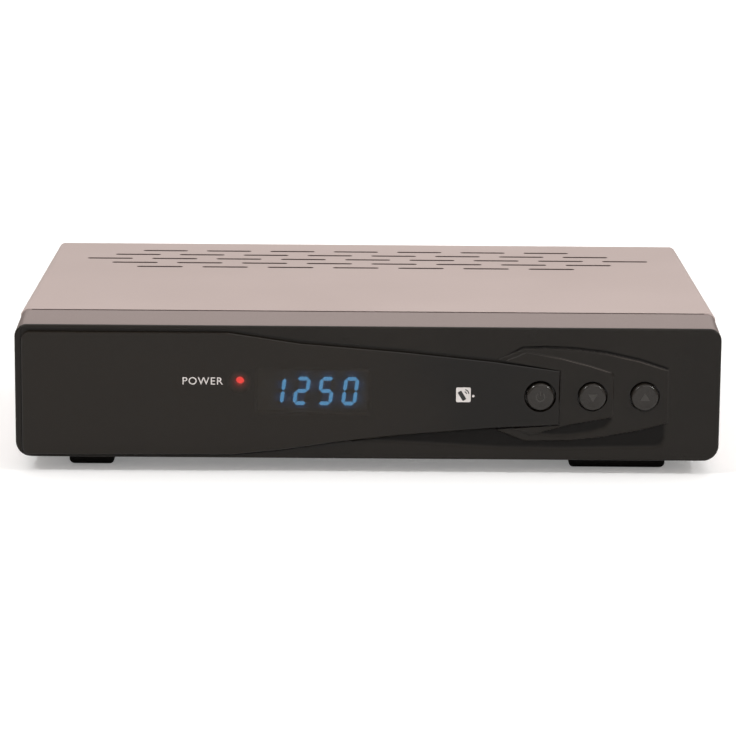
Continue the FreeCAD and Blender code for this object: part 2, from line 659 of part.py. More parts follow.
def make_fascia():
    """Black moulded face: two raised leaves, hollows beside them, the window's seat, posts."""
    solid = body("front_fascia")
    face = sketch(solid, "front", "y_front")
    rounded(face, "-x_edge", "front_under", "x_edge", "z_high", "corner_low", "corner_high")
    pad(solid, face, "face_edge", backwards=True)
    soften(solid, "PartDesign::Fillet", "face_round", on_plane("y", "y_front"))
    rebate = sketch(solid, "front", "y_front + face_edge")
    wall = "rebate_inset"
    rounded(rebate, f"{wall} - x_edge", f"front_under + {wall}", f"x_edge - {wall}",
            f"z_high - {wall}", f"corner_low - {wall}", f"corner_high - {wall}")
    pad(solid, rebate, "fascia_plate - face_edge", backwards=True)
    doc.recompute()
    scoop = sketch(solid, "front", "y_front")
    outline(scoop, right_side(SCOOP))
    pocket(solid, scoop, "scoop_depth")
    shoulder = sketch(solid, "front", "y_front")
    outline(shoulder, right_side(SHOULDER))
    pocket(solid, shoulder, "shoulder_depth")
    leaf = sketch(solid, "front", "y_front")
    outline(leaf, right_side(LEAF))
    pad(solid, leaf, "leaf_step", taper=-40)
    cove = sketch(solid, "front", "y_front - leaf_step")
    outline(cove, right_side(COVE))
    pocket(solid, cove, "cove_depth")
    middle = sketch(solid, "front", "y_front - leaf_step")
    outline(middle, right_side(MIDDLE_LEAF))
    pad(solid, middle, "leaf_step", taper=-40)
    doc.recompute()
    seat = sketch(solid, "front", "y_front - 2 * leaf_step - past")
    outline(seat, wedge("groove_top", "groove_low", "groove_side", "groove_end"))
    pocket(solid, seat, "2 * leaf_step + past + lens_seat")
    windows = sketch(solid, "front", "y_front - past")
    rectangle(windows, "x_window", "z_window", "x_window_end", "z_window_end")
    circle(windows, "x_led", "z_led", "led_window")
    circle(windows, "x_sensor", "z_sensor", "sensor_window")
    for x in ("x_power", "x_down", "x_up"):
        circle(windows, x, "z_button", "cap_hole")
    pocket(solid, windows, "fascia_plate + 2 * past")
    posts = sketch(solid, "front", "y_plate")
    for x, z in panel_bosses():
        circle(posts, x, z, "boss_radius")
    pad(solid, posts, "y_panel - y_plate", backwards=True)
    doc.recompute()
    bores = sketch(solid, "front", "y_panel + past")
    for x, z in panel_bosses():
        circle(bores, x, z, "screw_radius + thread_gap")
    pocket(solid, bores, "screw_reach + past", backwards=True)


def make_lens():
    """Tinted window over the display, with the hole for the power button."""
    solid = body("display_lens")
    drawing = sketch(solid, "front", "y_front + lens_seat")
    outline(drawing, wedge())
    circle(drawing, "x_power", "z_button", "cap_hole")
    pad(solid, drawing, "lens_seat + lens_stand")
    left = number("-x_edge + 5")
    soften(solid, "PartDesign::Fillet", "lens_corner", along("y", lambda middle: middle.x < left))
    soften(solid, "PartDesign::Chamfer", "lens_bevel", on_plane("y", "y_front - lens_stand"))


def make_buttons():
    """Three round caps, each with a flange behind the face, and the switch plungers."""
    for label, x in (("power", "x_power"), ("down", "x_down"), ("up", "x_up")):
        solid = body(f"{label}_button")
        put(solid, x, "0", "z_button")
        cap = sketch(solid, "front", "y_front - cap_stand")
        circle(cap, "0", "0", "cap_radius")
        pad(solid, cap, "cap_stand + y_plunger - y_front", backwards=True)
        soften(solid, "PartDesign::Fillet", "cap_round", on_plane("y", "y_front - cap_stand"))
        flange = sketch(solid, "front", "y_flange")
        circle(flange, "0", "0", "cap_flange")
        pad(solid, flange, "flange_sheet", backwards=True)
        node(f"{label}_key_plunger", rod("plunger_radius", "plunger_stand + plunger_sunk",
                                         (x, "y_plunger", "z_button")))


def make_front_board():
    """Front board with its keys, display, lamp and remote control receiver."""
    plate = box(("x_panel_end - x_panel", "board_sheet", "z_panel_end - z_panel"),
                ("x_panel", "y_panel", "z_panel"))
    bores = [rod("screw_radius + screw_gap", "board_sheet + 2 * past", (x, "y_panel - past", z))
             for x, z in panel_bosses()]
    node("front_board", cut(plate, bores))
    node("front_board_screws", together([screw((x, "y_panel + board_sheet", z), "y", 1)
                                         for x, z in panel_bosses()]))
    switches = []
    for x in ("x_power", "x_down", "x_up"):
        block = box(("switch_side", "switch_depth", "switch_side"),
                    (f"{x} - switch_side / 2", "y_switch", "z_button - switch_side / 2"))
        bore = rod("plunger_radius + plunger_gap", "plunger_sunk + key_travel + bore_spare",
                   (x, "y_switch", "z_button"))
        switches.append(cut(block, [bore]))
    node("key_switches", together(switches))
    node("display_module", box(
        ("window_width - 2 * module_margin", "module_depth",
         "window_high - window_low - 2 * module_margin"),
        ("x_window + module_margin", "y_panel - module_depth", "z_window + module_margin")))
    node("display_segments", together(display_bars()))
    bulb = doc.addObject("Part::Sphere", "bulb")
    bind(bulb, "Radius", "led_radius")
    put(bulb, "x_led", "y_panel - led_length", "z_led")
    node("power_lamp", fuse([bulb, rod("led_radius", "led_length",
                                       ("x_led", "y_panel - led_length", "z_led"))]))
    node("remote_receiver", box(("sensor_width", "sensor_depth", "sensor_height"),
                                ("x_sensor - sensor_width / 2", "y_panel - sensor_depth",
                                 "z_sensor - sensor_height / 2")))


def display_bars():
    """The bars of four seven-bar digits on the face of the display module."""
    bars = []
    half = "digit_height / 2"
    gap = "segment_gap"
    for digit in range(4):
        left = f"digit_left - x_edge + {digit} * digit_pitch - digit_width / 2"
        low = "front_under + digit_low"
        y = "y_panel - module_depth - segment_sheet"
        for level in ("0", f"{half} - segment_width / 2", "digit_height - segment_width"):
            bars.append(box((f"digit_width - 2 * {gap}", "segment_sheet", "segment_width"),
                            (f"{left} + {gap}", y, f"{low} + {level}")))
        for side in ("0", "digit_width - segment_width"):
            for level in ("0", half):
                bars.append(box(("segment_width", "segment_sheet", f"{half} - 2 * segment_width"),
                                (f"{left} + {side}", y, f"{low} + {level} + segment_width")))
    return bars


# Main board

def make_main_board():
    """Main board on its standoffs, with its screws."""
    plate = box(("x_main_end - x_main", "main_depth", "board_sheet"),
                ("x_main", "y_main", "z_board"))
    bores = [rod("screw_radius + screw_gap", "board_sheet + 2 * past", (x, y, "z_board - past"), "z")
             for x, y in main_holes()]
    node("main_board", cut(plate, bores))
    node("main_board_screws", together([screw((x, y, "z_main"), "z", 1)
                                        for x, y in main_holes()]))


def make_tuner():
    """Screening can with its lid, the two threaded sockets and their nuts."""
    low, high = "z_main", "z_main + tuner_height"
    can = box(("tuner_width", "tuner_depth", "tuner_height"),
              ("x_tuner", "y_inner - tuner_depth", low))
    inside = box(("tuner_width - 2 * tuner_sheet", "tuner_depth - 2 * tuner_sheet", "tuner_height"),
                 ("x_tuner + tuner_sheet", "y_inner - tuner_depth + tuner_sheet",
                  f"{low} + tuner_sheet"))
    holes = [rod("barrel_radius - barrel_step + thread_gap", "3 * tuner_sheet",
                 (x, "y_inner - 2 * tuner_sheet", "z_barrel")) for x in ("x_barrel", "x_barrel_out")]
    node("tuner_can", cut(can, [inside] + holes))
    node("tuner_lid", box(("tuner_width", "tuner_depth", "tuner_sheet"),
                          ("x_tuner", "y_inner - tuner_depth", high)))
    nuts = []
    contacts = []
    for label, x in (("lnb_in_socket", "x_barrel"), ("lnb_out_socket", "x_barrel_out")):
        root = rod("barrel_root", "chassis_sheet + nut_height + thread_relief",
                   (x, "y_inner", "z_barrel"))
        barrel = rod("barrel_radius", "barrel_stand - nut_height - thread_relief",
                     (x, "y_wall + nut_height + thread_relief", "z_barrel"))
        stub = rod("barrel_radius - barrel_step", "2 * tuner_sheet",
                   (x, "y_inner - 2 * tuner_sheet", "z_barrel"))
        bore = rod("barrel_bore", "barrel_stand", (x, "y_inner + barrel_floor", "z_barrel"))
        node(label, cut(fuse([root, barrel, stub]), [bore]))
        disc = rod("barrel_bore", "chassis_sheet + barrel_stand - barrel_floor - contact_recess",
                   (x, "y_inner + barrel_floor", "z_barrel"))
        hole = rod("contact_hole", "barrel_stand",
                   (x, "y_inner + barrel_floor + contact_floor", "z_barrel"))
        contacts.append(cut(disc, [hole]))
        prism = doc.addObject("Part::Prism", "nut")
        prism.Polygon = 6
        bind(prism, "Circumradius", "nut_across / sqrt(3)")
        bind(prism, "Height", "nut_height")
        prism.Placement = FreeCAD.Placement(vector(0, 0, 0), FreeCAD.Rotation(vector(1, 0, 0), -90))
        put(prism, x, "y_wall", "z_barrel")
        nuts.append(cut(prism, [rod("barrel_root + thread_gap", "nut_height + 2 * past",
                                    (x, "y_wall - past", "z_barrel"))]))
    node("lnb_socket_nuts", together(nuts))
    node("lnb_socket_inserts", together(contacts))


def make_small_sockets():
    """Scart, HDMI and USB sockets and the coaxial digital audio jack."""
    y_scart = "y_wall + scart_stand - scart_depth"
    block = box(("scart_width", "scart_depth", "scart_height"),
                ("x_scart - scart_width / 2", y_scart, "z_main"))
    cavity = box(("scart_width - 2 * scart_wall", "scart_cavity + past", "scart_height - 2 * scart_wall"),
                 ("x_scart - scart_width / 2 + scart_wall", "y_wall + scart_stand - scart_cavity",
                  "z_main + scart_wall"))
    tongue = box(("scart_width - 2 * scart_wall - 2 * scart_block_side",
                  "scart_cavity - scart_block_setback", "scart_block"),
                 ("x_scart - scart_width / 2 + scart_wall + scart_block_side",
                  "y_wall + scart_stand - scart_cavity",
                  "z_main + scart_height / 2 - scart_block / 2"))
    node("scart_socket", fuse([cut(block, [cavity]), tongue]))
    for label, x, width, height, depth in (
            ("hdmi", "x_hdmi", "hdmi_width", "hdmi_height", "hdmi_depth"),
            ("usb", "x_usb", "usb_width", "usb_height", "usb_depth")):
        front = f"y_wall + hdmi_stand - {depth}"
        shell = box((width, depth, height), (f"{x} - {width} / 2", front, "z_main"))
        inside = box((f"{width} - 2 * shell_sheet", depth, f"{height} - 2 * shell_sheet"),
                     (f"{x} - {width} / 2 + shell_sheet", f"{front} + shell_sheet",
                      "z_main + shell_sheet"))
        node(f"{label}_shell", cut(shell, [inside]))
        node(f"{label}_tongue", fuse([
            box((f"{width} - 2 * shell_sheet - 2 * tongue_side", f"{depth} - tongue_setback",
                 "tongue_sheet"),
                (f"{x} - {width} / 2 + shell_sheet + tongue_side", f"{front} + shell_sheet",
                 f"z_main + {height} / 2")),
            box((f"{width} - 2 * shell_sheet - 2 * base_gap", "tongue_base",
                 f"{height} - 2 * shell_sheet - 2 * base_gap"),
                (f"{x} - {width} / 2 + shell_sheet + base_gap", f"{front} + shell_sheet",
                 "z_main + shell_sheet + base_gap"))]))
    node("audio_jack_body", cut(
        box(("audio_width", "audio_depth", "audio_height"),
            ("x_audio - audio_width / 2", "y_inner - audio_depth", "z_main")),
        [rod("audio_bore - audio_step", "audio_depth",
             ("x_audio", "y_inner - audio_depth + audio_seat", "z_audio"))]))
    root = rod("audio_root", "chassis_sheet + thread_relief", ("x_audio", "y_inner", "z_audio"))
    collar = rod("audio_radius", "audio_stand - thread_relief",
                 ("x_audio", "y_wall + thread_relief", "z_audio"))
    bore = rod("audio_bore", "chassis_sheet + audio_stand + 2 * past",
               ("x_audio", "y_inner - past", "z_audio"))
    node("audio_jack_sleeve", cut(fuse([root, collar]), [bore]))


def make_chips():
    """Processor under its finned heatsink, memory chips and small capacitors."""
    node("processor", box(("chip_side", "chip_side", "chip_height"), ("x_chip", "y_chip", "z_main")))
    low = "z_main + chip_height"
    span = "(chip_side - 2 * sink_margin)"
    parts = [box((span, span, "sink_base"), ("x_chip + sink_margin", "y_chip + sink_margin", low))]
    fins = 7
    for i in range(fins):
        x = f"x_chip + sink_margin + {i} * ({span} - sink_fin) / {fins - 1}"
        parts.append(box(("sink_fin", span, "sink_height"), (x, "y_chip + sink_margin", low)))
    node("processor_heatsink", fuse(parts))
    node("memory_chips", together([
        box(("memory_width", "memory_depth", "memory_height"),
            ("x_chip + chip_side + memory_gap", f"y_chip + {i} * (memory_depth + memory_gap)", "z_main"))
        for i in range(2)]))
    node("board_capacitors", together([
        rod("main_can_radius", "main_can_height",
            (f"x_main + main_can_left + {i} * main_can_pitch", "y_main + main_can_front", "z_main"), "z")
        for i in range(5)]))


# Mains supply

def make_supply():
    """Supply board with its transformer, capacitors, choke, fuse and heatsink."""
    plate = box(("supply_width", "supply_depth", "board_sheet"), ("x_supply", "y_supply", "z_board"))
    bores = [rod("screw_radius + screw_gap", "board_sheet + 2 * past", (x, y, "z_board - past"), "z")
             for x, y in supply_holes()]
    node("supply_board", cut(plate, bores))
    node("supply_board_screws", together([screw((x, y, "z_main"), "z", 1)
                                          for x, y in supply_holes()]))
    left, front = "x_supply + transformer_left", "y_supply + transformer_front"
    core = box(("transformer_width", "core_sheet", "transformer_height"),
               (left, f"{front} + transformer_depth / 2 - core_sheet / 2", "z_main"))
    coil = box(("transformer_width - 2 * coil_margin", "transformer_depth",
                "transformer_height - coil_drop"), (f"{left} + coil_margin", front, "z_main"))
    node("supply_transformer", fuse([core, coil]))
    node("mains_capacitor", rod("mains_can_radius", "mains_can_height",
                                ("x_supply + mains_can_left", "y_supply + mains_can_front", "z_main"), "z"))
    node("supply_capacitors", together([
        rod("supply_can_radius", "supply_can_height",
            (f"x_supply + supply_can_left + {i} * supply_can_pitch",
             "y_supply + supply_can_front", "z_main"), "z")
        for i in range(3)]))
    node("line_choke", box(("choke_width", "choke_depth", "choke_height"),
                           ("x_supply + choke_left", "y_supply + choke_front", "z_main")))
    x, y, z = "x_supply + fuse_left", "y_supply + fuse_front", "z_main + fuse_level"
    clips = [box(("clip_width", "fuse_cap", "fuse_level"),
                 (f"{x} - clip_width / 2", f"{y} + {run}", "z_main"))
             for run in ("0", "fuse_length - fuse_cap")]
    node("mains_fuse", fuse([rod("fuse_radius", "fuse_length", (x, y, z))] + clips))
    node("supply_heatsink", fuse([
        box(("fin_width", "fin_sheet", "fin_height"),
            ("x_supply + fin_left", "y_supply + fin_front", "z_main")),
        box(("fin_width", "fin_foot", "fin_sheet"),
            ("x_supply + fin_left", "y_supply + fin_front", "z_main + fin_height - fin_sheet"))]))


def make_inlet():
    """Two-pin mains inlet in the rear wall, with its flange, cavity and pins."""
    low = "z_mains - inlet_height / 2"
    block = box(("inlet_width", "inlet_depth", "inlet_height"),
                ("x_inlet - inlet_width / 2", "y_wall - inlet_depth", low))
    flange = box(("inlet_width + 2 * inlet_rim", "inlet_flange", "inlet_height + 2 * inlet_rim"),
                 ("x_inlet - inlet_width / 2 - inlet_rim", "y_wall", f"{low} - inlet_rim"))
    end = "y_wall + inlet_flange - inlet_cavity"
    cavity = [rod("cavity_height / 2", "inlet_cavity + past",
                  (f"x_inlet {side} (cavity_width - cavity_height) / 2", end, "z_mains"))
              for side in ("-", "+")]
    cavity.append(box(("cavity_width - cavity_height", "inlet_cavity + past", "cavity_height"),
                      ("x_inlet - (cavity_width - cavity_height) / 2", end,
                       "z_mains - cavity_height / 2")))
    node("mains_inlet", cut(fuse([block, flange]), cavity))
    node("inlet_pins", together([
        rod("pin_radius", "pin_length", (f"x_inlet {side} pin_half_pitch", end, "z_mains"))
        for side in ("-", "+")]))


def make_rocker():
    """Rocker switch in the rear wall: housing with its well, and the rocker on its axle."""
    low = "z_mains - housing_height / 2"
    y_axle = "y_wall - axle_setback"
    block = box(("housing_width", "housing_depth", "housing_height"),
                ("x_rocker - housing_width / 2", "y_wall - housing_depth", low))
    flange = box(("housing_width + 2 * housing_rim_side", "inlet_flange",
                  "housing_height + 2 * housing_rim"),
                 ("x_rocker - housing_width / 2 - housing_rim_side", "y_wall",
                  f"{low} - housing_rim"))
    well = box(("rocker_width + 2 * rocker_gap", "housing_depth", "rocker_length + 2 * rocker_gap"),
               ("x_rocker - rocker_width / 2 - rocker_gap", "y_wall - housing_depth + housing_floor",
                "z_mains - rocker_length / 2 - rocker_gap"))
    bore = rod("rocker_bore", "housing_width - 2 * axle_skin",
               ("x_rocker - housing_width / 2 + axle_skin", y_axle, "z_mains"), "x")
    terminals = [box(("terminal_sheet", "terminal_length", "terminal_width"),
                     ("x_rocker - terminal_sheet / 2", "y_wall - housing_depth - terminal_length",
                      f"z_mains {side} terminal_shift - terminal_width / 2"))
                 for side in ("-", "+")]
    node("rocker_housing", fuse([cut(fuse([block, flange]), [well, bore])] + terminals))
    solid = body("mains_rocker")
    put(solid, "x_rocker", y_axle, "z_mains")
    drawing = sketch(solid, "side", "-rocker_width / 2")
    side = "rocker_length / 2 - rocker_side"
    outline(drawing, [
        ("-rocker_root", "-rocker_root_half"), ("-rocker_root", "rocker_root_half"),
        ("rocker_waist", side), ("rocker_shoulder", side),
        ("rocker_high", "rocker_length / 2 - rocker_high_end"), ("rocker_face", "0"),
        ("rocker_face", "rocker_low_end - rocker_length / 2"), ("rocker_waist", f"-({side})")])
    pad(solid, drawing, "rocker_width")
    axle = sketch(solid, "side", "2 * axle_skin - housing_width / 2")
    circle(axle, "0", "0", "rocker_axle")
    pad(solid, axle, "housing_width - 4 * axle_skin")


def bent_wire(points, bend, radius):
    """A round wire through points, with an arc of one radius at each inner point."""
    edges = []
    start = points[0]
    for i in range(1, len(points) - 1):
        here = points[i]
        ahead = (points[i + 1] - here).normalize()
        back = (points[i - 1] - here).normalize()
        half = back.getAngle(ahead) / 2
        reach = bend / math.tan(half)
        first, last = here + back * reach, here + ahead * reach
        crown = here + (back + ahead).normalize() * (bend / math.sin(half) - bend)
        edges += [Part.LineSegment(start, first).toShape(), Part.Arc(first, crown, last).toShape()]
        start = last
    edges.append(Part.LineSegment(start, points[-1]).toShape())
    ring = Part.Wire(Part.Circle(points[0], points[1] - points[0], radius).toShape())
    return Part.Wire(edges).makePipeShell([ring], True, False)


def make_wires():
    """Two insulated wires from the inlet and the switch down to the supply board."""
    wires = []
    for x, y in (("x_rocker", "y_wall - housing_depth - terminal_length"),
                 ("x_inlet", "y_wall - inlet_depth")):
        start = vector(number(x), number(y), number("z_mains"))
        corner = vector(start.x, number("y_supply + supply_depth - wire_inset"), start.z)
        foot = vector(corner.x, corner.y, number("z_main"))
        wires.append(bent_wire([start, corner, foot], number("wire_bend"), number("wire_radius")))
    group = doc.addObject("Part::Feature", "wires")
    group.Shape = Part.makeCompound(wires)
    group.Placement = FreeCAD.Placement()
    node("mains_wires", group)


def make_cables():
    """Flat cables from the front board and the supply to the main board, with headers."""
    y0, z0 = "y_panel + board_sheet", "z_panel + panel_header_low"
    left, wide = "x_ribbon - header_margin", "ribbon_width + 2 * header_margin"
    node("ribbon_headers", together([
        box((wide, "header_height", "header_depth"), (left, y0, z0)),
        box((wide, "header_depth", "header_height"), (left, "y_main + main_header_front", "z_main"))]))
    solid = body("front_ribbon_cable")
    drawing = sketch(solid, "side", "x_ribbon")
    y_in, z_in = f"{y0} + header_height", f"{z0} + header_depth / 2"
    y_out = "y_main + main_header_front + header_depth / 2"
    z_out, half = "z_main + header_height", "ribbon_sheet / 2"
    crest = f"{z_out} + ribbon_crest"
    outline(drawing, [
        (y_in, f"{z_in} - {half}"), (f"{y_in} + ribbon_bend", f"{z_in} - {half}"),
        (f"{y_out} - ribbon_bend", f"{crest} - {half}"), (f"{y_out} - {half}", f"{crest} - ribbon_bend"),
        (f"{y_out} - {half}", z_out), (f"{y_out} + {half}", z_out),
        (f"{y_out} + {half}", f"{crest} - ribbon_bend + ribbon_ease"),
        (f"{y_out} - ribbon_bend + ribbon_ease", f"{crest} + {half}"),
        (f"{y_in} + ribbon_bend", f"{z_in} + {half}"), (y_in, f"{z_in} + {half}")])
    pad(solid, drawing, "ribbon_width")
    link = body("supply_cable")
    drawing = sketch(link, "front", "y_supply + link_front + link_width")
    x0, x1 = "x_supply + supply_width - link_inset", "x_main + link_inset"
    top = "z_main + link_rise"
    outline(drawing, [
        (x0, "z_main"), (f"{x0} + ribbon_sheet", "z_main"),
        (f"{x0} + ribbon_sheet", f"{top} - link_bend"), (f"{x0} + ribbon_sheet + link_bend", top),
        (f"{x1} - ribbon_sheet - link_bend", top), (f"{x1} - ribbon_sheet", f"{top} - link_bend"),
        (f"{x1} - ribbon_sheet", "z_main"), (x1, "z_main"), (x1, f"{top} - link_corner / 2"),
        (f"{x1} - link_corner", f"{top} + ribbon_sheet"),
        (f"{x0} + link_corner", f"{top} + ribbon_sheet"), (x0, f"{top} - link_corner / 2")])
    pad(link, drawing, "link_width")


def make_case_screws():
    """Screws that hold the cover's sides to the tray."""
    screws = []
    for side, sense in (("-x_cover", -1), ("x_cover", 1)):
        for y in ("y_seam + cover_screw_inset", "y_rear - cover_screw_inset"):
            screws.append(screw((side, y, "foot_height + cover_screw_low"), "x", sense))
    node("cover_side_screws", together(screws))


def check():
    """Stop with a plain message if any object failed or any sub-part isn't whole."""
    for thing in doc.Objects:
        if any(state in ("Invalid", "Error") for state in thing.State):
            raise RuntimeError(f"{thing.Name} ({thing.Label}) is {thing.State}")
        if thing.TypeId == "PartDesign::Pocket":
            if thing.Shape.Volume > thing.BaseFeature.Shape.Volume - 0.001:
                raise RuntimeError(f"{thing.Name} cuts nothing")
    for thing in nodes:
        if thing.Shape.isNull() or not thing.Shape.isValid() or thing.Shape.Volume <= 0:
            raise RuntimeError(f"{thing.Label} isn't a whole shape")


def write():
    """Write each sub-part to its own file."""
    os.makedirs("parts", exist_ok=True)
    for thing in nodes:
        thing.Shape.exportStep(f"parts/{thing.Label}.step")
        solids = len(thing.Shape.Solids)
        print(f"{thing.Label}: {solids} solid(s), {thing.Shape.Volume:.1f} mm3")
    print(len(nodes), "sub-parts")


make_cover()
make_chassis()
make_feet()
make_bezel()
make_fascia()
make_lens()
make_buttons()
make_front_board()
make_main_board()
make_tuner()
make_small_sockets()
make_chips()
make_supply()
make_inlet()
make_rocker()
make_wires()
make_cables()
make_case_screws()
doc.recompute()
check()
write()
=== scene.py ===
import bmesh
import bpy
import json
import math
import numpy as np
from mathutils import Matrix, Vector


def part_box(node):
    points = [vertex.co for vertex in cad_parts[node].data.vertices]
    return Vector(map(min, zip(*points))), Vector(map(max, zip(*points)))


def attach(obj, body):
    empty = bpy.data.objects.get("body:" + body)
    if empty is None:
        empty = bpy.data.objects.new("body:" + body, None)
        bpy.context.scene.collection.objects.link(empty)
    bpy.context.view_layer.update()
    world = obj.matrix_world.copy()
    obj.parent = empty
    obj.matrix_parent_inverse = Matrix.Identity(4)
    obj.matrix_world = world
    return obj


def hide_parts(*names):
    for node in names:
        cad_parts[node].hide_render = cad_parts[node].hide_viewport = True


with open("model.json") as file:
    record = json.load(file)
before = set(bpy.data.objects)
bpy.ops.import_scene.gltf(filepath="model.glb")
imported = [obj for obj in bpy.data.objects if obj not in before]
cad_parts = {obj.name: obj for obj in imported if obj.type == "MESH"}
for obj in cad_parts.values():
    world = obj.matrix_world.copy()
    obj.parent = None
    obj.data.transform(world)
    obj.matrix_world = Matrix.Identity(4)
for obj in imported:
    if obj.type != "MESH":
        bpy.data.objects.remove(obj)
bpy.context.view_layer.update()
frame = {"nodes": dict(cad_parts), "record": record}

MM = 0.001
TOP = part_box("top_cover")[1].z
bezel_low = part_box("front_bezel")[0]
lens_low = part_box("display_lens")[0]
module_low, module_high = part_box("display_module")

# Places on the front. Heights are from the lower edge of the black face.
FACE_Y = bezel_low.y - 1.2 * MM
FACE_Z = bezel_low.z
EYE = Vector((-4.157 * MM, FACE_Y - 1101.743 * MM, FACE_Z + 254.085 * MM))
PITCH, YAW, ROLL = 11.3464, 0.2174, 0.4531
LENS_MM, SENSOR_MM = 155.38, 36.0


class Signal:
    """A shader socket that takes part in sums and products as a number does."""

    def __init__(self, paint, socket):
        self.paint = paint
        self.socket = socket

    def math(self, operation, *terms):
        """A Math node on this socket and others."""
        made = self.paint.node("ShaderNodeMath", {"operation": operation},
                               dict(enumerate((self,) + terms)))
        return Signal(self.paint, made.outputs[0])

    def flipped(self, operation, first):
        """A Math node with this socket in second place."""
        made = self.paint.node("ShaderNodeMath", {"operation": operation}, {0: first, 1: self})
        return Signal(self.paint, made.outputs[0])

    def __add__(self, other):
        return self.math("ADD", other)

    def __sub__(self, other):
        return self.math("SUBTRACT", other)

    def __rsub__(self, other):
        return self.flipped("SUBTRACT", other)

    def __mul__(self, other):
        return self.math("MULTIPLY", other)

    def __pow__(self, other):
        return self.math("POWER", other)

    def step(self, start, stop):
        """0 below start, 1 above stop, smooth between."""
        made = self.paint.node("ShaderNodeMapRange", {"interpolation_type": "SMOOTHSTEP"},
                               {"Value": self, "From Min": start, "From Max": stop})
        return Signal(self.paint, made.outputs[0])

    __radd__ = __add__
    __rmul__ = __mul__


class Paint:
    """One material: a Principled shader and the nodes that feed it."""

    def __init__(self, name, **plain):
        self.material = bpy.data.materials.new(name)
        self.material.use_nodes = True
        self.tree = self.material.node_tree
        self.shader = self.tree.nodes["Principled BSDF"]
        for key, value in plain.items():
            self.shader.inputs[key.replace("_", " ").title().replace("Ior", "IOR")].default_value = value
        self.place = Signal(self, self.node("ShaderNodeTexCoord").outputs["Object"])

    def node(self, kind, settings=None, inputs=None):
        """Add a node of a type, set it up and feed its sockets with values or links."""
        made = self.tree.nodes.new(kind)
        for key, value in (settings or {}).items():
            setattr(made, key, value)
        for key, value in (inputs or {}).items():
            self.feed(made.inputs[key], value)
        return made

    def feed(self, socket, value):
        """Link a signal to a socket, or set the socket to a value."""
        if isinstance(value, Signal):
            self.tree.links.new(value.socket, socket)
        else:
            socket.default_value = value

    def stretched(self, scale):
        """Object coordinates scaled along each axis."""
        made = self.node("ShaderNodeMapping", None, {"Vector": self.place, "Scale": scale})
        return Signal(self, made.outputs[0])

    def noise(self, scale, detail=3.0, place=None):
        """Cloudy noise with that many cells to a metre."""
        made = self.node("ShaderNodeTexNoise", None,
                         {"Vector": place or self.place, "Scale": scale, "Detail": detail})
        return Signal(self, made.outputs[0])

    def axis(self, name):
        """One of the object coordinates."""
        made = self.node("ShaderNodeSeparateXYZ", None, {0: self.place})
        return Signal(self, made.outputs[name])

    def mix(self, factor, first, second):
        """A colour between two colours."""
        made = self.node("ShaderNodeMix", {"data_type": "RGBA"})
        self.feed(made.inputs[0], factor)
        for index, colour in ((6, first), (7, second)):
            self.feed(made.inputs[index], colour if isinstance(colour, Signal) else (*colour, 1.0))
        return Signal(self, made.outputs[2])

    def set(self, name, value):
        """Feed one of the shader's sockets."""
        self.feed(self.shader.inputs[name], value)

    def bump(self, height, depth):
        """Relief from a height signal, with its depth in metres."""
        made = self.node("ShaderNodeBump", None, {"Height": height, "Distance": depth, "Strength": 1.0})
        self.set("Normal", Signal(self, made.outputs[0]))


def moulded(name, colour, roughness=0.45, grain=2600.0, depth=0.00002, shade=0.75, **plain):
    """Moulded or painted finish: fine grain, cloudy colour and handled patches of gloss."""
    paint = Paint(name, **plain)
    cloud = paint.noise(28.0)
    fine = paint.noise(grain, 2.0)
    darker = tuple(part * shade for part in colour)
    paint.set("Base Color", paint.mix(cloud.step(0.3, 0.7), darker, colour))
    paint.set("Roughness", paint.noise(60.0).step(0.25, 0.8) * 0.08 + (fine * 0.05 + (roughness - 0.05)))
    paint.bump(fine, depth)
    return paint.material


def case_paint():
    """Silver-beige sprayed paint on folded steel: metal flake, orange peel, and painted shade on the slot
    walls and under the top.
    """
    paint = Paint("case_paint", metallic=0.35, coat_roughness=0.25)
    peel = paint.noise(900.0, 2.0)
    flake = paint.noise(9000.0, 1.0).step(0.35, 0.75)
    cloud = paint.noise(9.0, 4.0).step(0.3, 0.7)
    body = paint.mix(cloud, (0.510, 0.408, 0.385), (0.545, 0.443, 0.420))
    height, side = paint.axis("Z"), paint.axis("X").math("ABSOLUTE")
    # Painted shade: the slot walls and the top's underside are painted dark to stand in for the shade inside
    # the case.
    edge = (1.0 - height.step(TOP - 0.14 * MM, TOP - 0.06 * MM)) * height.step(TOP - 2.4 * MM, TOP - 2.2 * MM)
    edge = edge * (1.0 - side.step(119.0 * MM, 119.6 * MM))
    sprayed = paint.mix(flake * 0.22, body, (0.74, 0.63, 0.60))
    paint.set("Base Color", paint.mix(edge, sprayed, (0.085, 0.060, 0.054)))
    paint.set("Roughness", flake * 0.06 + (cloud * 0.05 + 0.36))
    paint.bump(peel * 0.7 + flake * 0.3, 0.000006)
    return paint.material


def bezel_paint():
    """Silver-grey paint on the moulded frame: darker and smoother than the steel's."""
    paint = Paint("bezel_paint", metallic=0.45)
    flake = paint.noise(9000.0, 1.0).step(0.35, 0.75)
    paint.set("Base Color", paint.mix(flake * 0.25, (0.215, 0.174, 0.164), (0.32, 0.275, 0.265)))
    paint.set("Roughness", paint.noise(40.0) * 0.08 + 0.32)
    paint.bump(paint.noise(1500.0, 2.0), 0.000004)
    return paint.material


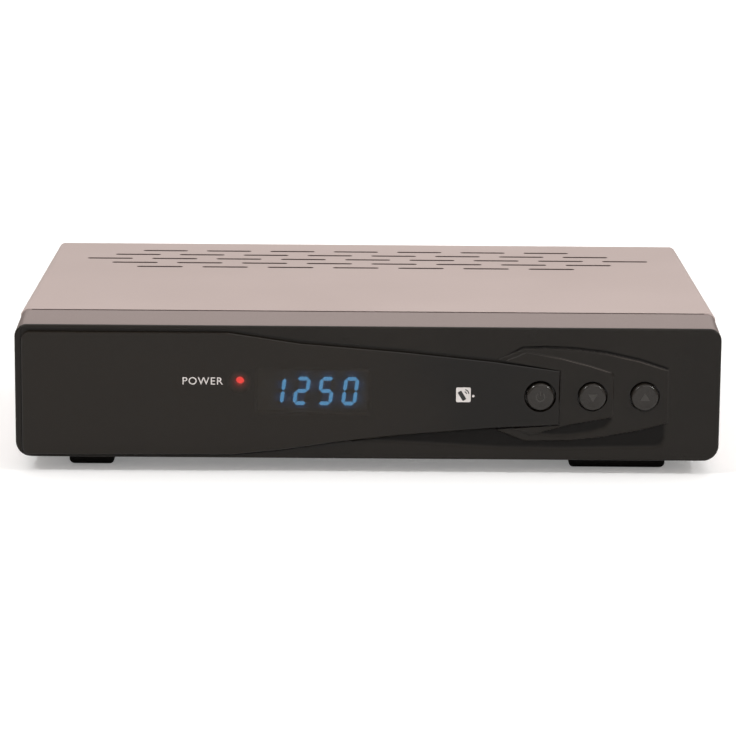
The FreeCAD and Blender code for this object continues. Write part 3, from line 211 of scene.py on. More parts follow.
def tinted_window():
    """Dark acrylic, printed black behind but for the place where the display and lamp shine through."""
    paint = Paint("tinted_window", specular_ior_level=0.27)
    x, z = paint.axis("X"), paint.axis("Z") - FACE_Z
    shown = x.step(-40.5 * MM, -38.5 * MM) * (1.0 - x.step(-0.5 * MM, 1.5 * MM))
    shown = shown * z.step(15.5 * MM, 17.5 * MM) * (1.0 - z.step(31.5 * MM, 33.5 * MM))
    away = (x + 45.3 * MM) ** 2.0 + (z - 28.0 * MM) ** 2.0
    clear = shown + (1.0 - away.step((2.6 * MM) ** 2, (4.6 * MM) ** 2))
    paint.set("Alpha", 1.0 - clear * 0.2)
    smudge = paint.noise(35.0, 4.0).step(0.45, 0.75)
    # The window's colour is darker towards its right end.
    darker_right = paint.axis("X").step(-0.01, 0.035)
    clean = paint.mix(darker_right, (0.0080, 0.0052, 0.0026), (0.0030, 0.0018, 0.0008))
    smeared = paint.mix(smudge * 0.5, clean, (0.0095, 0.0066, 0.0040))
    paint.set("Base Color", paint.mix(clear, smeared, (0.0185, 0.0148, 0.0108)))
    paint.set("Roughness", smudge * 0.06 + 0.13)
    paint.bump(paint.noise(120.0, 1.0), 0.000002)
    return paint.material


def sheet_steel(name, colour, roughness=0.38, along=(40.0, 900.0, 900.0)):
    """Rolled or plated sheet: fine lines along the roll and a cloudy spangle."""
    paint = Paint(name, metallic=0.9)
    lines = paint.noise(3.0, 3.0, paint.stretched(along))
    made = paint.node("ShaderNodeTexVoronoi", None, {"Vector": paint.place, "Scale": 160.0})
    spangle = Signal(paint, made.outputs["Distance"])
    tone = lines * 0.6 + spangle * 0.4
    darker = tuple(part * 0.86 for part in colour)
    paint.set("Base Color", paint.mix(tone.step(0.2, 0.8), darker, colour))
    paint.set("Roughness", lines * 0.18 + (roughness - 0.09))
    paint.bump(lines, 0.000006)
    return paint.material


def circuit_board(name, resist, copper):
    """Board with resist over copper: angular tracks show as lighter, raised lines."""
    paint = Paint(name, coat_weight=0.4, coat_roughness=0.2)
    made = paint.node("ShaderNodeTexVoronoi", {"feature": "F1", "distance": "CHEBYCHEV"},
                      {"Vector": paint.place, "Scale": 260.0, "Randomness": 0.85})
    cell = Signal(paint, made.outputs["Distance"])
    track = (cell * 9.0).math("FRACT").step(0.42, 0.5)
    paint.set("Base Color", paint.mix(track * 0.8, resist, copper))
    paint.set("Roughness", track * 0.15 + 0.35)
    paint.bump(track, 0.00003)
    return paint.material


def striped_cable(name, colour, pitch):
    """Flat cable: round conductors side by side, with grooves between them."""
    paint = Paint(name)
    wave = (paint.axis("X") * (math.pi / pitch)).math("SINE").math("ABSOLUTE")
    paint.set("Base Color", paint.mix(wave.step(0.1, 0.5), tuple(part * 0.45 for part in colour), colour))
    paint.set("Roughness", paint.noise(200.0) * 0.2 + 0.4)
    paint.bump(wave, 0.0003)
    return paint.material


def lit(name, colour, strength, core):
    """Glowing plastic: strong in the middle of the piece, with a little grain."""
    paint = Paint(name, emission_strength=strength)
    grain = paint.noise(3000.0, 1.0).step(0.2, 0.8)
    paint.set("Base Color", paint.mix(grain, tuple(part * 0.3 for part in colour), colour))
    bright = tuple(min(1.0, part + 0.25) for part in colour)
    paint.set("Emission Color", paint.mix(grain * core, colour, bright))
    paint.set("Roughness", grain * 0.1 + 0.3)
    return paint.material


def glow_paint(name, dark, colour, strength):
    """Dark face that scatters the light of what is lit on it, by the attribute glow."""
    paint = Paint(name, emission_strength=strength, roughness=0.6)
    made = paint.node("ShaderNodeAttribute", {"attribute_name": "glow"})
    glow = Signal(paint, made.outputs["Fac"])
    paint.set("Base Color", paint.mix(paint.noise(1200.0), dark, tuple(part * 1.3 for part in dark)))
    paint.set("Emission Color", paint.mix(glow, (0.0, 0.0, 0.0), colour))
    return paint.material


def hollow_paint():
    """The face's paint: the attribute glow paints shade into the hollows and, below 0, paints highlights
    along the rims.
    """
    paint = Paint("hollow_face", specular_ior_level=0.25)
    made = paint.node("ShaderNodeAttribute", {"attribute_name": "glow"})
    mark = Signal(paint, made.outputs["Fac"])
    # Painted shade: the hollows are painted darker, with some metal to dim their reflection.
    deep = mark.step(0.1, 0.9)
    face = paint.mix(paint.noise(28.0).step(0.3, 0.7), (0.0069, 0.0051, 0.0034), (0.0092, 0.0068, 0.0046))
    # Painted highlight: where the attribute is below 0 the rims are painted bright.
    shown = paint.mix((mark * -1.0).step(0.02, 1.0), face, (0.11, 0.090, 0.080))
    paint.set("Base Color", paint.mix(deep, shown, (0.0060, 0.0052, 0.0047)))
    paint.set("Metallic", deep * 0.5)
    paint.set("Roughness", deep * 0.12 + 0.30)
    paint.bump(paint.noise(5200.0, 2.0), 0.000004)
    return paint.material


def steel_screw():
    """Plated screw steel with turning marks."""
    paint = Paint("screw_steel", metallic=1.0)
    rings = paint.noise(2500.0, 2.0)
    paint.set("Base Color", paint.mix(rings.step(0.3, 0.7), (0.30, 0.29, 0.28), (0.55, 0.54, 0.52)))
    paint.set("Roughness", rings * 0.2 + 0.25)
    paint.bump(rings, 0.000008)
    return paint.material


def sleeve(name, colour, band):
    """Shrink sleeve on a can, with a pale band of marks along one side."""
    paint = Paint(name, coat_weight=0.5, coat_roughness=0.15)
    stripe = (paint.axis("Z") * 1400.0).math("SINE").step(0.2, 0.4)
    side = (paint.axis("X") * 780.0).math("SINE").step(0.86, 0.9)
    paint.set("Base Color", paint.mix(side * stripe * 0.8, colour, band))
    paint.set("Roughness", paint.noise(80.0) * 0.15 + 0.3)
    paint.bump(paint.noise(700.0, 2.0), 0.00001)
    return paint.material


def foot_rubber():
    """Moulded rubber foot: matt, pitted, with dust in the low places."""
    paint = Paint("foot_rubber", specular_ior_level=0.15)
    pit = paint.noise(1800.0, 4.0)
    dust = paint.noise(120.0).step(0.55, 0.8)
    paint.set("Base Color", paint.mix(dust * 0.5, (0.0035, 0.0032, 0.0028), (0.009, 0.0082, 0.0075)))
    paint.set("Roughness", pit * 0.3 + 0.55)
    paint.bump(pit, 0.00005)
    return paint.material


MATERIALS = {
    "case_paint": case_paint(),
    "bezel_paint": bezel_paint(),
    "tinted_window": tinted_window(),
    "black_face": moulded("black_face", (0.0092, 0.0068, 0.0046), 0.30, 5200.0, 0.000004,
                          specular_ior_level=0.25),
    "black_button": moulded("black_button", (0.0150, 0.0118, 0.0090), 0.24, 5200.0, 0.000003,
                            specular_ior_level=0.42),
    "zinc_steel": sheet_steel("zinc_steel", (0.56, 0.56, 0.55)),
    "tin_plate": sheet_steel("tin_plate", (0.62, 0.61, 0.57), 0.3, (900.0, 30.0, 900.0)),
    "nickel_plate": sheet_steel("nickel_plate", (0.66, 0.63, 0.58), 0.22, (700.0, 60.0, 700.0)),
    "sink_aluminium": sheet_steel("sink_aluminium", (0.58, 0.59, 0.60), 0.42, (900.0, 60.0, 900.0)),
    "screw_steel": steel_screw(),
    "foot_rubber": foot_rubber(),
    "key_plastic": moulded("key_plastic", (0.05, 0.05, 0.05), 0.5),
    "board_green": circuit_board("board_green", (0.008, 0.075, 0.032), (0.035, 0.17, 0.06)),
    "board_tan": circuit_board("board_tan", (0.30, 0.17, 0.06), (0.42, 0.27, 0.12)),
    "display_body": moulded("display_body", (0.012, 0.012, 0.013), 0.4),
    "lamp_red": lit("lamp_red", (1.0, 0.050, 0.040), 20.0, 0.03),
    "display_blue": lit("display_blue", (0.14, 0.53, 1.0), 9.5, 0.12),
    "chip_black": moulded("chip_black", (0.016, 0.016, 0.017), 0.55, 3000.0, 0.00002),
    "white_insert": moulded("white_insert", (0.70, 0.68, 0.62), 0.4),
    "socket_black": moulded("socket_black", (0.017, 0.017, 0.018), 0.38, 3200.0, 0.000012),
    "jack_orange": moulded("jack_orange", (0.75, 0.20, 0.02), 0.4),
    "capacitor_sleeve": sleeve("capacitor_sleeve", (0.015, 0.02, 0.06), (0.5, 0.5, 0.55)),
    "transformer_tape": moulded("transformer_tape", (0.72, 0.48, 0.03), 0.3),
    "choke_core": moulded("choke_core", (0.05, 0.048, 0.045), 0.6),
    "fuse_glass": moulded("fuse_glass", (0.6, 0.62, 0.6), 0.15),
    "wire_sleeve": moulded("wire_sleeve", (0.02, 0.03, 0.12), 0.35),
    "ribbon_grey": striped_cable("ribbon_grey", (0.42, 0.42, 0.42), 1.27 * MM),
}
PRINT_WHITE = moulded("print_white", (0.68, 0.64, 0.62), 0.55)
PRINT_FAINT = moulded("print_faint", (0.034, 0.030, 0.026), 0.5)
PRINT_DARK = moulded("print_dark", (0.012, 0.011, 0.010), 0.4, metallic=0.0)
UNLIT = moulded("unlit_bar", (0.016, 0.018, 0.022), 0.5)


def dress_nodes():
    """Give every CAD node the finish that its slot in the record names."""
    for entry in frame["record"]["subparts"]:
        holder = frame["nodes"][entry["node"]]
        finish = MATERIALS[entry["material_slot"]]
        if not holder.material_slots:
            holder.data.materials.append(finish)
        for place in holder.material_slots:
            place.material = finish


# Meshes

def piece(name, points, faces, finish, body="case", bend=38.0):
    """Make one piece from arrays of points and faces, closed, facing outwards, smooth up to a bend."""
    mesh = bpy.data.meshes.new(name)
    sides = faces if isinstance(faces, list) else [tuple(face) for face in np.asarray(faces).tolist()]
    mesh.from_pydata(np.asarray(points, float).tolist(), [], sides)
    work = bmesh.new()
    work.from_mesh(mesh)
    bmesh.ops.remove_doubles(work, verts=work.verts, dist=1e-7)
    bmesh.ops.dissolve_degenerate(work, edges=work.edges, dist=1e-8)
    bmesh.ops.recalc_face_normals(work, faces=work.faces)
    work.to_mesh(mesh)
    work.free()
    mesh.shade_smooth()
    mesh.set_sharp_from_angle(angle=math.radians(bend))
    mesh.materials.append(finish)
    made = bpy.data.objects.new(name, mesh)
    bpy.context.scene.collection.objects.link(made)
    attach(made, body)
    return made


def net(rows, columns, closed=True, start=0):
    """Faces of a grid of points, row by row, with the columns joined round if closed."""
    r, c = np.meshgrid(np.arange(rows - 1), np.arange(columns if closed else columns - 1), indexing="ij")
    ahead = (c + 1) % columns
    near, beyond = r * columns, (r + 1) * columns
    faces = np.stack([near + c, near + ahead, beyond + ahead, beyond + c], -1)
    return faces.reshape(-1, 4) + start


def turned_grid(profile, centre, steps=64):
    """Points of a shape turned about an axis along Y: each (radius, y) goes round a full circle."""
    profile = np.asarray(profile, float)
    turn = np.linspace(0.0, 2.0 * math.pi, steps, endpoint=False)
    x = centre[0] + profile[:, :1] * np.cos(turn)
    z = centre[1] + profile[:, :1] * np.sin(turn)
    y = np.broadcast_to(profile[:, 1:], x.shape)
    return np.stack([x, y, z], -1).reshape(-1, 3)


def turned(name, profile, centre, finish, body="case", steps=64):
    """A closed turned piece. The profile starts and ends on the axis."""
    return piece(name, turned_grid(profile, centre, steps), net(len(profile), steps), finish, body)


def arc(centre, radius, start, stop, count=7):
    """Points of an arc of a profile, from one angle to another in degrees."""
    turn = np.radians(np.linspace(start, stop, count))
    return [(centre[0] + radius * math.cos(a), centre[1] + radius * math.sin(a)) for a in turn]


def plates(name, outlines, y_front, y_back, finish, body="case", origin=(0.0, 0.0)):
    """Flat shapes facing the front: each outline in millimetres is carried from one depth to another."""
    points, faces, base = [], [], 0
    for shape in outlines:
        flat = np.asarray(shape, float) * MM + np.asarray(origin)
        count = len(flat)
        for y in (y_front, y_back):
            points.append(np.column_stack([flat[:, 0], np.full(count, y), flat[:, 1]]))
        faces.append(tuple(range(base, base + count)))
        faces.append(tuple(range(base + 2 * count - 1, base + count - 1, -1)))
        faces += [(base + i, base + (i + 1) % count, base + count + (i + 1) % count, base + count + i)
                  for i in range(count)]
        base += 2 * count
    return piece(name, np.concatenate(points), faces, finish, body)


def sheet(name, points, faces, glow, finish):
    """A thin open sheet over a CAD face, with the attribute glow at its points."""
    mesh = bpy.data.meshes.new(name)
    mesh.from_pydata(points.tolist(), [], faces.tolist())
    mesh.attributes.new("glow", "FLOAT", "POINT").data.foreach_set("value", glow)
    mesh.shade_smooth()
    mesh.materials.append(finish)
    made = bpy.data.objects.new(name, mesh)
    bpy.context.scene.collection.objects.link(made)
    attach(made, "case")
    return made


def at_depth(x, z, y):
    """Where a mark at depth y lies, when the eye sees it at a place measured on the face's plane."""
    share = (y - EYE.y) / (FACE_Y - EYE.y)
    return EYE.x + (x * MM - EYE.x) * share, EYE.z + (FACE_Z + z * MM - EYE.z) * share


def round_rect(low, high, radius, steps=5):
    """Outline of a rectangle with round corners, in millimetres."""
    corners = [((high[0] - radius, high[1] - radius), 0), ((low[0] + radius, high[1] - radius), 90),
               ((low[0] + radius, low[1] + radius), 180), ((high[0] - radius, low[1] + radius), 270)]
    return [point for centre, start in corners for point in arc(centre, radius, start, start + 90, steps)]


# Front

# Bars of a seven-bar digit: top, upper right, lower right, foot, lower left, upper left, middle.
DIGIT_BARS = {"0": "abcdef", "1": "bc", "2": "abged", "5": "afgcd"}
SHOWN = "1250"
DIGIT_HEIGHT, DIGIT_WIDTH, DIGIT_PITCH, BAR = 10.2, 5.3, 8.6, 1.3
DIGIT_X, DIGIT_Z, SLANT = -35.3, 19.5, 0.13


def bar_outlines():
    """Outlines of all the bars, lit and unlit: a bar is a long hexagon, sheared as the digit leans."""
    half, gap = BAR / 2, 0.10
    w, h = DIGIT_WIDTH, DIGIT_HEIGHT
    ends = {"a": ((0, h), (w, h)), "b": ((w, h), (w, h / 2)), "c": ((w, h / 2), (w, 0)),
            "d": ((0, 0), (w, 0)), "e": ((0, 0), (0, h / 2)), "f": ((0, h / 2), (0, h)),
            "g": ((0, h / 2), (w, h / 2))}
    inner = np.array([half, half])
    lit_bars, dark_bars = [], []
    for place, digit in enumerate(SHOWN):
        for name, (start, stop) in ends.items():
            outer = (w - half, h - half)
            start, stop = (np.clip(np.array(end, float), inner, outer) for end in (start, stop))
            run = (stop - start) / np.linalg.norm(stop - start)
            side = np.array([-run[1], run[0]]) * half
            a, b = start + run * gap, stop - run * gap
            hexagon = np.array([a, a + run * half - side, b - run * half - side, b,
                                b - run * half + side, a + run * half + side])
            hexagon[:, 0] += hexagon[:, 1] * SLANT + DIGIT_X + place * DIGIT_PITCH
            hexagon[:, 1] += DIGIT_Z
            (lit_bars if name in DIGIT_BARS[digit] else dark_bars).append(hexagon)
    return lit_bars, dark_bars


def make_display():
    """Lit and unlit bars on the module's face, and the blue light they scatter on it."""
    lit_bars, dark_bars = bar_outlines()
    y_face = module_low.y

    def moved(shapes):
        return [np.array([at_depth(x, z, y_face) for x, z in shape]) / MM for shape in shapes]
    bars = plates("lit_bars", moved(lit_bars), y_face - 0.2 * MM, y_face, MATERIALS["display_blue"])
    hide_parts("display_segments")
    plates("unlit_bars", moved(dark_bars), y_face - 0.1 * MM, y_face, UNLIT)
    rows, columns = 60, 150
    x = np.linspace(module_low.x, module_high.x, columns)
    z = np.linspace(module_low.z, module_high.z, rows)
    gx, gz = np.meshgrid(x, z)
    points = np.stack([gx, np.full_like(gx, y_face - 0.02 * MM), gz], -1).reshape(-1, 3)
    middles = np.array([shape.mean(0) for shape in moved(lit_bars)]) * MM
    away = np.sqrt(((points[:, None, (0, 2)] - middles[None]) ** 2).sum(-1)).min(1)
    glow = np.exp(-(away / (1.9 * MM)) ** 1.5)
    finish = glow_paint("display_face", (0.003, 0.003, 0.004), (0.02, 0.15, 0.42), 4.0)
    sheet("display_face", points, net(rows, columns, False), glow, finish)


def make_lamp():
    """Red lamp: a round-nosed rod with a rim, behind the window."""
    low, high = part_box("power_lamp")
    centre = ((low.x + high.x) / 2, (low.z + high.z) / 2)
    radius = (high.x - low.x) / 2
    nose = arc((0.0, low.y + radius), radius * 0.96, -90, 0, 10)
    profile = nose + [(radius * 0.96, high.y - 1.2 * MM), (radius, high.y - 1.2 * MM), (radius, high.y),
                      (0.0, high.y)]
    lamp = turned("red_lamp", profile, centre, MATERIALS["lamp_red"], steps=32)
    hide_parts("power_lamp")
    y = FACE_Y + 0.42 * MM
    x0, z0 = at_depth(-45.3, 28.0, y)
    reach = np.linspace(1.5, 5.0, 15) * MM
    points = turned_grid([(radius, y) for radius in reach], (x0, z0), 40)
    glow = np.exp(-((np.hypot(points[:, 0] - x0, points[:, 2] - z0) / MM - 1.4) / 0.6))
    paint = glow_paint("lamp_glow", (0.006, 0.004, 0.003), (1.0, 0.05, 0.035), 0.7)
    sheet("lamp_glow", points, net(15, 40), glow, paint)


# Outlines on the face: millimetres in from its right edge and up from its lower edge.
LEAF = [(80.8, 35.7), (69.9, 40.4), (62.5, 40.6), (51.9, 40.2), (40.9, 38.9), (28.8, 36.2), (18.5, 32.9),
        (18.3, 13.9), (28.2, 11.1), (42.3, 8.5), (53.0, 7.3), (69.3, 7.0), (81.1, 11.8)]
MIDDLE_LEAF = [(79.0, 34.9), (68.8, 39.3), (57.1, 37.3), (46.5, 34.6), (38.8, 32.2), (38.0, 30.8),
               (37.9, 17.0), (38.7, 15.7), (53.1, 13.1), (67.2, 9.2), (77.0, 13.2)]
# Hollows beside the leaves: the far side of each, from which it deepens, and then the leaf's side.
SCOOP = ([(134.0, 6.5), (77.8, 3.6), (56.5, 3.4), (22.7, 4.2), (19.6, 5.4), (18.5, 8.4), (18.3, 13.9)],
         [(28.2, 11.1), (42.3, 8.5), (53.0, 7.3), (69.3, 7.0), (81.1, 11.8), (113.4, 9.0)])
SHOULDER = ([(80.8, 35.7), (70.6, 41.4), (62.5, 41.8), (51.6, 41.4), (40.5, 40.1), (28.3, 37.4), (18.2, 34.0),
             (18.5, 32.9)], [(28.8, 36.2), (40.9, 38.9), (51.9, 40.2), (62.5, 40.6), (69.9, 40.4)])
COVE = ([(37.6, 14.6), (40.6, 11.4), (47.0, 9.4), (54.0, 8.6), (60.0, 8.4), (66.5, 9.4)],
        [(53.1, 13.1), (38.7, 15.7)])
WINDOW = [(135.0, 5.9), (113.4, 8.4), (80.0, 11.2), (57.0, 12.7), (56.8, 32.8), (80.8, 36.8), (113.7, 40.1),
          (135.0, 42.2)]


def nearest(points, shape, closed=True):
    """Distance from each point to an outline, and the nearest place on it."""
    first, last = (shape, np.roll(shape, -1, 0)) if closed else (shape[:-1], shape[1:])
    run = last - first
    share = np.clip(((points[:, None] - first) * run).sum(-1) / (run ** 2).sum(-1), 0.0, 1.0)
    places = first + share[..., None] * run
    gaps = np.linalg.norm(points[:, None] - places, axis=-1)
    best = gaps.argmin(1)
    rows = np.arange(len(points))
    return gaps[rows, best], places[rows, best]


def within(points, shape):
    """Whether each point is inside an outline: a line from it to the right crosses an odd number of sides."""
    first, last = shape, np.roll(shape, -1, 0)
    x, z = points[:, :1], points[:, 1:]
    spans = (first[:, 1] > z) != (last[:, 1] > z)
    rise = np.where(last[:, 1] == first[:, 1], 1.0, last[:, 1] - first[:, 1])
    at = first[:, 0] + (last[:, 0] - first[:, 0]) * (z - first[:, 1]) / rise
    return (spans & (x < at)).sum(1) % 2 == 1


def depth_in(points, shape):
    """Signed distance: how far inside an outline each point is."""
    gap = nearest(points, shape)[0]
    return np.where(within(points, shape), gap, -gap)


def ease(value, start, stop):
    """0 below start, 1 above stop, smooth between."""
    share = np.clip((value - start) / (stop - start), 0.0, 1.0)
    return share * share * (3.0 - 2.0 * share)


def measured(shape):
    """Outline points as millimetres along X and up from the face's lower edge."""
    return np.array([(125.0 - away, height) for away, height in shape])


def relief(points):
    """Height of the face in millimetres: each leaf is a step with a bead along its rim, each hollow deepens
    from its far side,
    h = sum(step * ease(s) + bead * exp(-((s - 0.28) / 0.24)^2)) - sum(deep * ease(far))."""
    height = np.full(len(points), 0.03)
    dark = np.zeros(len(points))
    for (far, near), deep, reach in ((SCOOP, 0.45, 2.4), (SHOULDER, 0.36, 0.8), (COVE, 0.36, 2.0)):
        inside = within(points, measured(far + near))
        share = ease(nearest(points, measured(far), False)[0], 0.0, reach) * inside
        height -= share * deep
        # Painted shade: dark grows as each hollow deepens.
        dark = np.maximum(dark, share)
    for shape, start, stop, low in ((LEAF, 76.0, 92.0, 32.6), (MIDDLE_LEAF, 55.0, 74.0, 31.6)):
        inner = depth_in(points, measured(shape))
        bead = np.exp(-((inner - 0.26) / 0.20) ** 2)
        height += 0.5 * ease(inner, -0.06, 0.34) + 0.10 * bead
        # Painted highlight: the rim beads take dark below 0, most along the upper edges at the right.
        dark -= bead * (0.14 + 0.42 * ease(points[:, 0], start, stop) * ease(points[:, 1], low, low + 1.0))
    return height, dark


def make_leaves():
    """Finely gridded skin over the leaves and hollows of the face, open at the window and the buttons."""
    xs, zs = np.arange(-10.0, 107.8, 0.3), np.arange(2.8, 42.6, 0.3)
    points = np.stack(np.meshgrid(xs, zs), -1).reshape(-1, 2)
    faces = net(len(zs), len(xs), False)
    middles = points[faces].mean(1)
    window = measured(WINDOW)
    caps = [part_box(f"{label}_button") for label in ("down", "up")]
    rings = [((low + high) / 2 / MM, 5.4) for low, high in caps]
    gone = within(middles, window)
    for middle, radius in rings:
        gone |= np.hypot(middles[:, 0] - middle.x, middles[:, 1] + FACE_Z / MM - middle.z) < radius
    rim = np.intersect1d(faces[gone], faces[~gone])
    for index in rim:
        here = points[index]
        for middle, radius in rings:
            away = here - (middle.x, middle.z - FACE_Z / MM)
            if np.linalg.norm(away) < radius + 1.0:
                points[index] = here + away * (radius / np.linalg.norm(away) - 1.0)
                break
        else:
            points[index] = nearest(here[None], window)[1][0]
    faces = faces[~gone]
    used = np.unique(faces)
    order = np.zeros(len(points), int)
    order[used] = np.arange(len(used))
    points = points[used]
    height, dark = relief(points)
    placed = np.column_stack([points[:, 0] * MM, FACE_Y - height * MM, FACE_Z + points[:, 1] * MM])
    # The skin carries painted shade in its hollows and painted highlights on its rims, by the attribute glow.
    sheet("leaf_skin", placed, order[faces], dark, hollow_paint())


SYMBOLS = {
    "power": [[(math.cos(a) * r, math.sin(a) * r) for a, r in
               [(math.radians(t), 1.75) for t in range(-230, 51, 20)]
               + [(math.radians(t), 1.35) for t in range(50, -231, -20)]],
              [(-0.2, 0.4), (0.2, 0.4), (0.2, 2.1), (-0.2, 2.1)]],
    "down": [[(-1.7, 1.1), (0.0, -1.7), (1.7, 1.1)]],
    "up": [[(-1.7, -1.1), (1.7, -1.1), (0.0, 1.7)]],
}


def make_buttons():
    """Round caps with a rolled edge and a shallow dish, a flange behind, and a moulded symbol."""
    for label, shapes in SYMBOLS.items():
        low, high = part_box(f"{label}_button")
        centre = ((low.x + high.x) / 2, (low.z + high.z) / 2)
        flange, cap, edge = (high.x - low.x) / 2, 4.85 * MM, 1.0 * MM
        y_flange = FACE_Y + 2.6 * MM
        dish = [((cap - edge) * share, low.y + 0.18 * MM * (1 - share ** 2))
                for share in (0, 0.25, 0.5, 0.75, 0.9)]
        rim = arc((cap - edge, low.y + edge), edge, -90, 0, 9)
        profile = dish + rim + [(cap, y_flange), (flange, y_flange), (flange, y_flange + 1.0 * MM),
                                (cap, y_flange + 1.0 * MM), (cap, high.y), (0.0, high.y)]
        button = turned(f"{label}_cap", profile, centre, MATERIALS["black_button"],
                        f"{label}_key", 96)
        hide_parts(f"{label}_button")
        plates(f"{label}_symbol", shapes, low.y + 0.06 * MM, low.y + 0.3 * MM, PRINT_FAINT,
               f"{label}_key", centre)


def make_word():
    """The printed word over the lamp: letters made a mesh and laid on the window."""
    curve = bpy.data.curves.new("word", "FONT")
    curve.body = "POWER"
    curve.size = 1.0
    curve.offset = 0.004
    curve.space_character = 1.12
    curve.extrude = 0.0
    holder = bpy.data.objects.new("word", curve)
    flat = bpy.data.meshes.new_from_object(holder)
    bpy.data.objects.remove(holder)
    count = len(flat.vertices)
    points = np.empty(count * 3)
    flat.vertices.foreach_get("co", points)
    points = points.reshape(-1, 3)
    low, high = points.min(0), points.max(0)
    share = (points - low) / np.maximum(high - low, 1e-9)
    y = lens_low.y - 0.02 * MM
    left, foot = at_depth(-65.6, 26.60, y)
    right, top = at_depth(-51.3, 29.25, y)
    across, up = left + share[:, 0] * (right - left), foot + share[:, 1] * (top - foot)
    placed = np.column_stack([across, np.full(count, y), up])
    faces = [tuple(face.vertices) for face in flat.polygons]
    word = piece("power_word", placed, faces, PRINT_WHITE)
    return word


def make_sensor_mark():
    """Remote control mark: a pale plate with a dark handset in it, and a dot beside it."""
    y = lens_low.y - 0.02 * MM
    x0, z0 = at_depth(31.3, 20.9, y)
    plates("sensor_mark", [round_rect((0.0, 0.0), (5.2, 5.3), 0.5)], y, lens_low.y, PRINT_WHITE,
           origin=(x0, z0))
    lean = 0.55
    handset = [(x * math.cos(lean) - z * math.sin(lean) + 2.1, x * math.sin(lean) + z * math.cos(lean) + 2.3)
               for x, z in round_rect((-0.75, -1.8), (0.75, 1.8), 0.3)]
    waves = [arc((2.8, 2.9), radius, 5, 75, 7) + arc((2.8, 2.9), radius - 0.4, 75, 5, 7)
             for radius in (1.1, 1.9)]
    plates("sensor_mark_lines", [handset] + waves, y - 0.01 * MM, y, PRINT_DARK,
           origin=(x0, z0))
    turns = np.linspace(0, 2 * math.pi, 16, endpoint=False)
    dot = [(6.1 + 0.45 * math.cos(a), 2.2 + 0.45 * math.sin(a)) for a in turns]
    plates("sensor_dot", [dot], y, lens_low.y, PRINT_WHITE, origin=(x0, z0))


# Back

def make_threaded_sockets():
    """Threaded coaxial sockets: a saw-tooth profile with the real pitch, a bore and a lead-in."""
    for label in ("lnb_in_socket", "lnb_out_socket"):
        low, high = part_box(label)
        centre = ((low.x + high.x) / 2, (low.z + high.z) / 2)
        crest, pitch = (high.x - low.x) / 2, 0.794 * MM
        root = crest - 0.42 * MM
        start, stop = low.y + 3.2 * MM, high.y - 0.7 * MM
        turns = int((stop - start) / pitch)
        teeth = [(radius, start + (i + share) * pitch)
                 for i in range(turns) for share, radius in ((0.0, root), (0.5, crest))]
        bore = 3.4 * MM
        profile = [(0.0, low.y), (crest - 1.0 * MM, low.y), (crest - 1.0 * MM, low.y + 1.2 * MM),
                   (crest, low.y + 1.2 * MM)] + teeth + [(root, stop), (root - 0.3 * MM, high.y),
                   (bore, high.y), (bore, low.y + 4.5 * MM), (0.0, low.y + 4.5 * MM)]
        socket = turned(label.replace("socket", "barrel"), profile, centre, MATERIALS["nickel_plate"],
                        steps=48)
        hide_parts(label)


SCREWS = {
    "cover_side_screws": "x", "front_board_screws": "y",
    "main_board_screws": "z", "supply_board_screws": "z",
}


def islands(holder):
    """Lowest and highest corners of each separate solid of a node, from its mesh."""
    mesh = bmesh.new()
    mesh.from_mesh(holder.data)
    mesh.transform(holder.matrix_world)
    bmesh.ops.remove_doubles(mesh, verts=mesh.verts, dist=1e-6)
    left = set(mesh.verts)
    found = []
    while left:
        edge, group = [left.pop()], []
        while edge:
            here = edge.pop()
            group.append(here.co.copy())
            for line in here.link_edges:
                other = line.other_vert(here)
                if other in left:
                    left.remove(other)
                    edge.append(other)
        found.append((np.min(group, 0), np.max(group, 0)))
    mesh.free()
    return sorted(found, key=lambda box: tuple(box[0]))


def screw_grid(steps=48):
    """A pan head with a cross recess: the radius grid's height is the dome less a cross whose arms slope in.
    Height at (r, a): 1.6 - 0.5 (r / 2.8)^4 - 1.1 ease(0.42 - |side|) ease(1.55 - |run|), in millimetres."""
    radii = np.concatenate([np.linspace(0.05, 1.9, 14), np.linspace(2.05, 2.8, 6)])
    turn = np.linspace(0.0, 2.0 * math.pi, steps, endpoint=False)
    r, a = np.meshgrid(radii, turn, indexing="ij")
    x, y = r * np.cos(a), r * np.sin(a)
    arms = np.maximum(ease(0.42 - np.abs(x), 0.0, 0.2) * ease(1.55 - np.abs(y), 0.0, 0.5),
                      ease(0.42 - np.abs(y), 0.0, 0.2) * ease(1.55 - np.abs(x), 0.0, 0.5))
    top = 1.58 - 0.55 * (r / 2.8) ** 4 - 1.1 * arms
    rows = [np.stack([x, y, top], -1)]
    for radius, height in ((2.8, 0.02), (1.40, 0.02), (1.40, -3.9), (0.05, -3.9)):
        ring = [radius * np.cos(turn), radius * np.sin(turn), np.full(steps, height)]
        rows.append(np.stack(ring, -1)[None])
    points = np.concatenate(rows)
    return points.reshape(-1, 3) * MM, len(points), steps


def make_screws():
    """Screws with cross recesses in place of each group's plain ones."""
    grid, rows, steps = screw_grid()
    first = tuple(range(steps - 1, -1, -1))
    last = tuple(range((rows - 1) * steps, rows * steps))
    faces = net(rows, steps).tolist() + [first, last]
    for name, axis in SCREWS.items():
        points, sides = [], []
        for low, high in islands(frame["nodes"][name]):
            middle = (low + high) / 2
            index = "xyz".index(axis)
            outward = 1.0 if axis != "x" or middle[0] > 0 else -1.0
            seat = high[index] - 1.6 * MM if outward > 0 else low[index] + 1.6 * MM
            others = [k for k in range(3) if k != index]
            placed = np.empty_like(grid)
            placed[:, index] = seat + outward * grid[:, 2]
            placed[:, others[0]] = middle[others[0]] + grid[:, 0]
            placed[:, others[1]] = middle[others[1]] + grid[:, 1]
            sides += [tuple(corner + len(points) * len(grid) for corner in face) for face in faces]
            points.append(placed)
        made = piece(name.replace("screws", "cross_screws"), np.concatenate(points), sides,
                     MATERIALS["screw_steel"])
        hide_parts(name)


